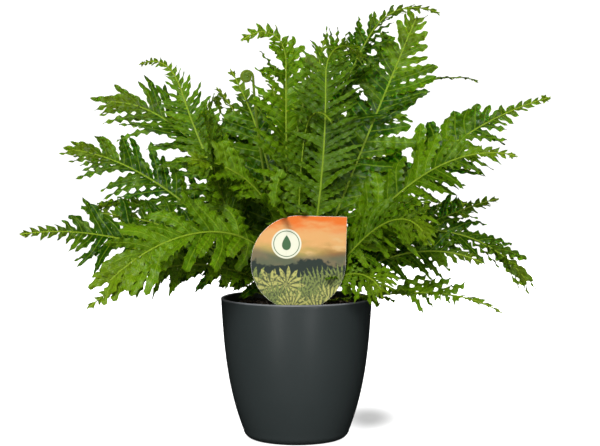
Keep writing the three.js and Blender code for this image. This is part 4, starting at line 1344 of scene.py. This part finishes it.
@dataclass
class Frond:
    """One frond: a grooved rib with pairs of wavy leaflets, bent clear of its neighbours."""

    plan: FrondPlan
    number: int
    pitch: float = 0.0118
    end: float = 0.985
    fade: float = 0.25
    thickness: float = 0.00024
    rib: RibCurve = field(init=False)
    leaflets: Leaflets = field(init=False)

    FOLDS = (0.0, 12.0, -12.0, 24.0, -24.0, 36.0, -36.0)
    SHARES = (1.0, 0.85, 0.7, 0.5)
    TIP_AT = 0.968
    TIP_LENGTH = 0.027
    ANGLE_SPREAD = 8.5
    LENGTH_SPREAD = 0.15
    HALF_SHARE = 0.48
    SEAT_SHARE = 0.53
    MEAN_FOLD = 10.0
    RIPPLE_LENGTH = 0.0105
    RIPPLE_HEIGHT = 0.0028

    def __post_init__(self) -> None:
        """Lays the rib and its leaflets."""
        self.rib = RibCurve(self.plan)
        self.leaflets = self.lay_leaflets()

    def lay_leaflets(self) -> Leaflets:
        """Places pairs of leaflets between s = stalk + blade * x * (1 + fade * (1 - x)), one at the tip."""
        plan = self.plan
        rng = np.random.default_rng(500 + self.number)
        blade = self.end - plan.stalk
        pairs = round(plan.length * blade / (self.pitch * plan.fine))
        x = np.arange(pairs + 1) / pairs
        stations = plan.stalk + blade * x * (1 + self.fade * (1 - x))
        middle = np.repeat((stations[1:] + stations[:-1]) / 2, 2)
        pitch = np.repeat(np.diff(stations), 2) * plan.length
        sign = np.tile([Side.LEFT.value, Side.RIGHT.value], pairs).astype(float)
        middle = np.append(middle, self.TIP_AT)
        pitch = np.append(pitch, pitch[-1])
        sign = np.append(sign, 1.0)
        n = len(middle)
        t = (middle - plan.stalk) / blade
        point, ahead, side, up = self.rib.at(middle)
        angle = blade_angle(t, plan.tail) + rng.normal(0, self.ANGLE_SPREAD, n)
        angle[-1] = 0.0
        length = plan.wide * blade_outline(t, plan.tail, plan.foot)
        length = length * (1 + self.LENGTH_SPREAD * rng.uniform(-1, 1, n))
        length[-1] = self.TIP_LENGTH * plan.length
        share_full = np.clip(length / 0.05, 0.0, 1.0)
        upper = Side.LEFT if plan.roll > 0 else Side.RIGHT
        full = plan.full + plan.over * (sign == upper.value)
        half = self.HALF_SHARE * full * pitch * np.sin(np.radians(np.maximum(angle, 50)))
        half = np.minimum(half, 0.5 * length)
        root = point + side * (sign * self.rib.half_width(middle))[:, None]
        root[-1] = point[-1]
        lifted = plan.lift_right * (sign == Side.RIGHT.value)
        leaflets = Leaflets(
            share=middle, root=root, ahead=ahead, side=side, up=up, flare=ahead.copy(), sign=sign,
            angle=angle, length=length, half=half, seat=self.SEAT_SHARE * pitch,
            fold=self.MEAN_FOLD + plan.loose * rng.uniform(-1, 1, n) + lifted,
            sweep=0.14 + 0.08 * rng.uniform(-1, 1, n), sag=0.14 + 0.12 * rng.uniform(-1, 1, n),
            hang=rng.uniform(0.0, 0.22, n) * share_full,
            turn=rng.uniform(-0.9, 0.9, n),
            waves=np.maximum(length / (self.RIPPLE_LENGTH * plan.fine ** 0.4), 0.6),
            height=self.RIPPLE_HEIGHT * plan.fine ** 0.5 * share_full ** 0.6 * rng.uniform(0.7, 1.35, n),
            phase=rng.uniform(0, 2 * math.pi, n), skew=rng.uniform(0.6, 1.6, n),
            chance=rng.uniform(0, 1, n), blunt=np.clip((full - 1.0) / 0.15, 0.0, 1.0))
        leaflets.seat[-1] = half[-1]
        _, edge, _ = leaflets.directions()
        leaflets.flare[-1] = edge[-1]
        return leaflets

    def rib_patch(self) -> Array:
        """A coarse strip along the rib, (1, rows, 2, 3)."""
        s = np.linspace(0.0, 1.0, 25)
        point, _, side, _ = self.rib.at(s)
        half = self.rib.half_width(s)[:, None]
        return np.stack([point - side * half, point + side * half], 1)[None]

    def bend_clear(self, thicket: Thicket) -> None:
        """Folds each leaflet about the rib until it meets nothing, or meets least.

        Args:
            thicket: What is in place already; the leaflets join it.
        """
        u, v = np.linspace(0.06, 1.0, 7), np.array([-0.8, 0.0, 0.8])
        base = self.leaflets
        fold, length = base.fold.copy(), base.length.copy()
        best = np.full(len(fold), 10 ** 6)
        best_fold, best_length = fold.copy(), length.copy()
        for share in self.SHARES:
            for offset in self.FOLDS:
                open_ones = np.flatnonzero(best > 0)
                if len(open_ones) == 0:
                    break
                trial = base.pick(open_ones)
                trial.fold = fold[open_ones] + offset
                trial.length = length[open_ones] * share
                met = thicket.crossings(trial.surface(u, v)[0], self.number)
                better = met < best[open_ones]
                chosen = open_ones[better]
                best[chosen] = met[better]
                best_fold[chosen], best_length[chosen] = trial.fold[better], trial.length[better]
        base.fold, base.length = best_fold, best_length
        thicket.add(base.surface(u, v)[0], self.number)
        log.info("%s: %d of %d leaflets clear", self.plan.name, int((best == 0).sum()), len(best))

    def build(self, lens: Lens, materials: list[bpy.types.Material]) -> None:
        """Makes the frond's piece.

        Args:
            lens: Grid of one leaflet.
            materials: The leaf's finish and the rib's.
        """
        draft = MeshDraft(f"fern_{self.plan.name}")
        self.leaflets.add_to(draft, lens, self.thickness, taper=0.5, under=1.0, tone_and_painted_shade=self.plan.tone_and_painted_shade)
        s = np.linspace(STALK_START, 0.995, 60)
        point, _, side, up = self.rib.at(s)
        swell = 1.0 + 0.5 * np.exp(-np.maximum(s, 0) / 0.02)
        body, faces, rib_uv = tube(point, side, up, self.rib.half_width(s) * swell,
                                   self.rib.half_height(s) * swell, groove=0.35)
        rib_growth = np.zeros((len(body), 4))
        rib_growth[:, 0] = np.clip(s[0] + (s[-1] - s[0]) * rib_uv[:, 0], 0, 1)
        rib_growth[:, 3] = self.plan.tone_and_painted_shade
        draft.add(body, faces, rib_uv, rib_growth, finish=1)
        draft.build(materials, Slot.LEAF, f"frond_{self.plan.name}", sharp=75.0)


@dataclass
class Crozier:
    """A young frond still rolled up: a scaly stalk that ends in a flat coil with rolled leaflets."""

    plan: FrondPlan
    coil: float
    turns: float = 1.6
    inner: float = 0.0016
    stalk_radius: float = 0.0014
    coil_radius: float = 0.0019
    tip_radius: float = 0.0016
    lobes: int = 34
    lobe_thickness: float = 0.0004

    STALK_STEPS = 30
    COIL_STEPS = 44
    FIRST_LOBE = 19
    FREE_STEPS = 3
    LOBES_GROW_FROM = 24
    LOBES_GROW_OVER = 8

    def path(self) -> tuple[Array, Array, Array, Array]:
        """Points, sideways and outward directions and radii along the stalk and the spiral."""
        rib = RibCurve(self.plan)
        s = np.linspace(STALK_START, 1.0, self.STALK_STEPS)[:-1]
        point, _, side, up = rib.at(s)
        end, ahead, end_side, end_up = (value[0] for value in rib.at(np.array([1.0])))
        centre = end - end_up * self.coil
        share = np.linspace(0.0, 1.0, self.COIL_STEPS)
        turn = 2 * math.pi * self.turns * share[:, None]
        outward = end_up * np.cos(turn) + ahead * np.sin(turn)
        reach = (self.coil + (self.inner - self.coil) * share)[:, None]
        points = np.vstack([point, centre + outward * reach])
        across = np.vstack([side, np.broadcast_to(end_side, outward.shape)])
        ups = np.vstack([up, outward])
        swollen = self.stalk_radius + (self.coil_radius - self.stalk_radius) * smooth(share / 0.2)
        radius = np.concatenate([np.full(len(s), self.stalk_radius),
                                 swollen + (self.tip_radius - self.coil_radius) * share])
        return points, across, ups, radius

    def patch(self) -> Array:
        """A coarse strip along the stalk and the coil, (1, rows, 2, 3)."""
        points, across, _, radius = self.path()
        half = across * radius[:, None]
        return np.stack([points - half, points + half], 1)[None]

    def build(self, name: str, lens: Lens, materials: list[bpy.types.Material]) -> None:
        """Makes the crozier's piece.

        Args:
            name: Its CAD node.
            lens: Grid of one rolled leaflet.
            materials: The rolled leaflets' finish and the stalk's.
        """
        points, across, up, radius = self.path()
        draft = MeshDraft(f"fern_{name}")
        body, faces, uv = tube(points, across, up, radius, radius)
        growth = np.zeros((len(body), 4))
        growth[:, 0] = 0.06 + 0.9 * uv[:, 0]
        growth[:, 3] = 0.9
        draft.add(body, faces, uv, growth, finish=1)
        self.add_lobes(draft, lens, points, across, up, radius)
        draft.build(materials, Slot.YOUNG_LEAF, name, sharp=70.0)

    def add_lobes(self, draft: MeshDraft, lens: Lens, points: Array, across: Array, up: Array,
                  radius: Array) -> None:
        """Adds small leaflets, folded inwards over the coil on both sides and sparse on the stalk.

        Args:
            draft: The crozier's draft.
            lens: Grid of one leaflet.
            points: The stalk's and the coil's centre line.
            across: Sideways directions along it.
            up: Outward directions along it.
            radius: The tube's radii along it.
        """
        rng = np.random.default_rng(int(abs(self.plan.azimuth)))
        place = np.repeat(np.linspace(self.FIRST_LOBE, len(points) - self.FREE_STEPS, self.lobes), 2)
        sign = np.tile([1.0, -1.0], self.lobes)
        n = len(place)
        row = np.arange(len(points))
        root, side, outward = (along_path(place, row, value) for value in (points, across, up))
        ahead = unit(along_path(place, row, unit(np.gradient(points, axis=0))))
        root = root + side * (sign * np.interp(place, row, radius) * 0.6)[:, None]
        on_coil = smooth((place - self.LOBES_GROW_FROM) / self.LOBES_GROW_OVER)
        length = (0.0035 + 0.0022 * on_coil) * rng.uniform(0.8, 1.2, n)
        leaves = Leaflets(
            share=np.full(n, 0.8), root=root, ahead=ahead, side=unit(side), up=unit(outward), flare=ahead,
            sign=sign, angle=np.full(n, 55.0), length=length, half=0.30 * length, seat=0.30 * length,
            fold=-18.0 - 30.0 * on_coil + rng.uniform(-8, 8, n), sweep=np.full(n, 0.25),
            sag=0.3 + 0.35 * on_coil, hang=np.zeros(n), turn=rng.uniform(-0.3, 0.3, n),
            waves=np.full(n, 0.8), height=np.full(n, 0.0003), phase=rng.uniform(0, 6.28, n),
            skew=np.full(n, 1.0), chance=rng.uniform(0, 1, n), blunt=np.zeros(n))
        leaves.add_to(draft, lens, self.lobe_thickness, taper=0.0, under=0.0, tone_and_painted_shade=0.8)


CROZIERS = {
    "crozier_left": Crozier(FrondPlan("left", 171, 74, 0.230, -13, 12.6, roll=15, bend=1.27), 0.0068),
    "crozier_right": Crozier(FrondPlan("right", 222, 83, 0.243, -28, 8, sway=-20, bend=1.15), 0.0066),
}


@dataclass
class PlantLabel:
    """Card on a stake: a circle whose upper right quarter is square, turned a little to one side."""

    radius: float = 0.0485
    thickness: float = 0.0008
    bevel: float = 0.00015
    stake_width: float = 0.014
    stake_length: float = 0.052
    place: Place = (0.0021, -0.062, 0.1915)
    turn: float = math.radians(1.5)
    sides: int = 144

    def stand(self, points: Array) -> Array:
        """Turns points about Y and moves them to the card's place."""
        c, s = math.cos(self.turn), math.sin(self.turn)
        x, y, z = points[..., 0], points[..., 1], points[..., 2]
        return np.stack([x * c + z * s, y, -x * s + z * c], -1) + np.array(self.place)

    def build(self) -> None:
        """Makes the card as rings scaled from its middle, front to back, and the stake under it."""
        turn = 2 * math.pi * np.arange(self.sides) / self.sides
        square = 1.0 / np.maximum(np.maximum(np.cos(turn), np.sin(turn)), 0.5)
        reach = self.radius * np.where((turn > 0) & (turn < math.pi / 2), square, 1.0)
        h, b = self.thickness / 2, self.bevel
        inset = 1.0 - b / self.radius
        rings = np.array([(0.3, -h), (0.6, -h), (0.9, -h), (inset, -h), (1.0, b - h), (1.0, h - b),
                          (inset, h), (0.9, h), (0.6, h), (0.3, h)])
        flat = np.stack([np.cos(turn) * reach, np.zeros(self.sides), np.sin(turn) * reach], -1)
        body = flat[None] * rings[:, :1, None] + np.array([0, 1.0, 0]) * rings[:, 1:, None]
        points = np.vstack([[[0, -h, 0]], body.reshape(-1, 3), [[0, h, 0]]])
        last_ring = 1 + (len(rings) - 1) * self.sides
        quads = grid_faces(len(rings), self.sides, wrap=True)[:, ::-1] + 1
        front = fan(0, 1, self.sides)
        back = fan(len(points) - 1, last_ring, self.sides, flip=True)
        finish = np.concatenate([np.where(np.arange(len(quads)) < 3 * self.sides, 0, 1),
                                 np.zeros(self.sides, int), np.ones(self.sides, int)])
        uv = points[:, [0, 2]] / (2 * self.radius) + 0.5
        draft = MeshDraft("plant_label_card")
        draft.add(self.stand(points), [quads, front, back], uv, finish=finish)
        self.add_stake(draft)
        finishes = [PrintFinish().material(), CardFinish().material()]
        draft.build(finishes, Slot.LABEL, "plant_label", sharp=30.0)

    def add_stake(self, draft: MeshDraft) -> None:
        """Adds the pointed stake: a strip that starts inside the card.

        Args:
            draft: The card's draft.
        """
        half, h = self.stake_width / 2, self.thickness * 0.36
        low, high = -self.radius - self.stake_length, -self.radius * 0.9
        across = np.array([-half, half, half, 0.0, -half])
        down = np.array([high, high, low + half, low, low + half])
        front = np.stack([across, np.full(5, -h), down], -1)
        points = np.vstack([front, front + np.array([0, 2 * h, 0])])
        side = np.arange(5)
        after = (side + 1) % 5
        walls = np.stack([side, side + 5, after + 5, after], -1)
        caps = [np.array([[0, 1, 2, 4]]), np.array([[9, 7, 6, 5]]), np.array([[4, 2, 3], [8, 7, 9]])]
        faces = [block[:, ::-1] for block in (walls, *caps)]
        draft.add(self.stand(points), faces, np.zeros((10, 2)), finish=1)


@dataclass
class Plant:
    """All fronds and the two croziers."""

    lens: Lens = field(default_factory=lambda: Lens(19, 5))
    small_lens: Lens = field(default_factory=lambda: Lens(7, 3))

    def build(self, pot: Pot, label: PlantLabel) -> None:
        """Lays every rib, bends the leaflets clear of each other, then makes the pieces.

        Args:
            pot: Its wall keeps leaflets out.
            label: So does its card.
        """
        fronds = [Frond(plan, number) for number, plan in enumerate(FROND_PLANS)]
        thicket = Thicket()
        thicket.add(self.wall(pot), -1)
        corners = np.array([[(x, 0, z) for x in (-1, 1)] for z in (-1, 1)]) * label.radius
        thicket.add((corners + np.array(label.place))[None], -1)
        for crozier in CROZIERS.values():
            thicket.add(crozier.patch(), -1)
        for frond in fronds:
            thicket.add(frond.rib_patch(), frond.number)
        for frond in fronds:
            frond.bend_clear(thicket)
        materials = [LeafFinish().material(), RibFinish().material()]
        for frond in fronds:
            frond.build(self.lens, materials)
        young = [LeafFinish(name="young_leaf", deep=(0.03, 0.07, 0.008), bright=(0.13, 0.22, 0.03),
                            midrib=(0.15, 0.24, 0.04)).material(),
                 RibFinish(name="young_stalk", green=(0.085, 0.14, 0.008), young=(0.11, 0.15, 0.010),
                           foot=0.3).material()]
        for name, crozier in CROZIERS.items():
            crozier.build(name, self.small_lens, young)

    @staticmethod
    def wall(pot: Pot) -> Array:
        """The pot's upper wall and the soil's top as one coarse strip, (1, rows, columns, 3)."""
        lip = [(pot.rim_radius, pot.height), (pot.rim_radius - pot.wall, pot.height)]
        rows = [(pot.radius(0.098), 0.098), *lip, (0.076, 0.1425), (0.027, 0.1445)]
        rings = turned(np.array(rows, float), 48)
        return np.concatenate([rings, rings[:, :1]], 1)[None]


@dataclass(frozen=True)
class SoftLight:
    """A rectangular soft light that looks at a height on the plant's axis.

    Attributes:
        name: Name of the light.
        place: Where it stands.
        width: Its width.
        height: Its height.
        power: Its power in watts.
        target: Height on the axis that it looks at.
        diffuse: Whether it lights matt surfaces.
        glossy: Whether it shows as a highlight.
    """

    name: str
    place: Place
    width: float
    height: float
    power: float
    target: float = 0.22
    diffuse: bool = True
    glossy: bool = True

    def build(self) -> None:
        """Adds the light to the scene."""
        light = bpy.data.lights.new(self.name, "AREA")
        light.shape = "RECTANGLE"
        light.size = self.width
        light.size_y = self.height
        light.energy = self.power
        holder = bpy.data.objects.new(self.name, light)
        holder.location = self.place
        sight = Vector((0.0, 0.0, self.target)) - Vector(self.place)
        holder.rotation_euler = sight.to_track_quat("-Z", "Y").to_euler()
        holder.visible_diffuse = self.diffuse
        holder.visible_transmission = self.diffuse
        holder.visible_glossy = self.glossy
        bpy.context.scene.collection.objects.link(holder)


LIGHTS = [
    SoftLight("key", (-0.45, -2.1, 1.45), 0.6, 0.6, 84.0),
    SoftLight("low", (-0.42, -1.4, 0.04), 0.9, 0.9, 8.5, glossy=False),
    SoftLight("fill", (1.5, -1.4, 0.9), 1.4, 1.4, 14.0),
    SoftLight("back", (0.3, 1.9, 1.1), 1.2, 1.2, 105.0, glossy=False),
    SoftLight("left_strip", (-0.52, -0.95, 0.10), 0.10, 0.40, 1.9, target=0.10, diffuse=False),
    SoftLight("right_strip", (0.42, -0.98, 0.10), 0.10, 0.40, 1.9, target=0.10, diffuse=False),
]


@dataclass
class Studio:
    """Round white floor and wall, soft lights and the camera at the photograph's angle."""

    camera_at: Place = (0.0038, -1.921, 0.355)
    camera_tilt: float = 86.23
    lens: float = 109.4
    floor_radius: float = 3.0
    wall_bend: float = 1.5
    wall_height: float = 6.0
    sides: int = 64
    world_strength: float = 0.42

    def build(self) -> None:
        """Sets up the floor, the lights, the world and the camera."""
        self.floor()
        for light in LIGHTS:
            light.build()
        self.world()
        self.camera()
        bpy.context.scene.view_settings.view_transform = "Standard"

    def world(self) -> None:
        """Adds an even white surround that shows in no highlight."""
        world = bpy.data.worlds.new("studio")
        world.use_nodes = True
        sky = world.node_tree.nodes["Background"]
        sky.inputs["Color"].default_value = (1.0, 1.0, 1.0, 1.0)
        sky.inputs["Strength"].default_value = self.world_strength
        world.cycles_visibility.glossy = False
        bpy.context.scene.world = world

    def floor(self) -> None:
        """A round floor and a wall that curves up from it; neither throws light back at the plant.

        The wall rises by b * (1 - cos a) while its radius grows by b * sin a, to a quarter turn, and then
        stands straight.
        """
        turn = np.linspace(0, math.pi / 2, 13)
        flat = np.array([[0.0, 0.0], [0.5, 0.0], [1.5, 0.0], [self.floor_radius, 0.0]])
        curve = np.stack([self.floor_radius + self.wall_bend * np.sin(turn),
                          self.wall_bend * (1.0 - np.cos(turn))], -1)
        wall = np.vstack([curve, [[self.floor_radius + self.wall_bend, self.wall_height]]])
        ground = self.sheet("studio_floor", flat)
        backdrop = self.sheet("studio_wall", wall)
        backdrop.visible_shadow = False
        for piece in (ground, backdrop):
            piece.visible_diffuse = False
            piece.visible_glossy = False

    def sheet(self, name: str, profile: Array) -> bpy.types.Object:
        """Turns a profile of (radius, height) round Z into an open white sheet."""
        points = turned(profile, self.sides).reshape(-1, 3)
        faces = grid_faces(len(profile), self.sides, wrap=True)
        mesh = bpy.data.meshes.new(name)
        mesh.from_pydata(points.tolist(), [], faces.tolist())
        mesh.shade_smooth()
        mesh.materials.append(FloorFinish().material())
        piece = bpy.data.objects.new(name, mesh)
        bpy.context.scene.collection.objects.link(piece)
        return piece

    def camera(self) -> None:
        """Adds the camera, level but for its tilt."""
        data = bpy.data.cameras.new("camera")
        data.lens = self.lens
        data.sensor_width = 36.0
        data.clip_end = 50.0
        holder = bpy.data.objects.new("camera", data)
        holder.location = self.camera_at
        holder.rotation_euler = (math.radians(self.camera_tilt), 0.0, 0.0)
        bpy.context.scene.collection.objects.link(holder)
        bpy.context.scene.camera = holder


def main() -> None:
    """Builds the studio, the pot with its soil, the crown, the label and the plant."""
    logging.basicConfig(level=logging.INFO, format="%(name)s: %(message)s")
    Studio().build()
    pot = Pot()
    pot.build()
    Soil().build(pot)
    Crown().build()
    label = PlantLabel()
    label.build()
    Plant().build(pot, label)


if __name__ == "__main__":
    main()
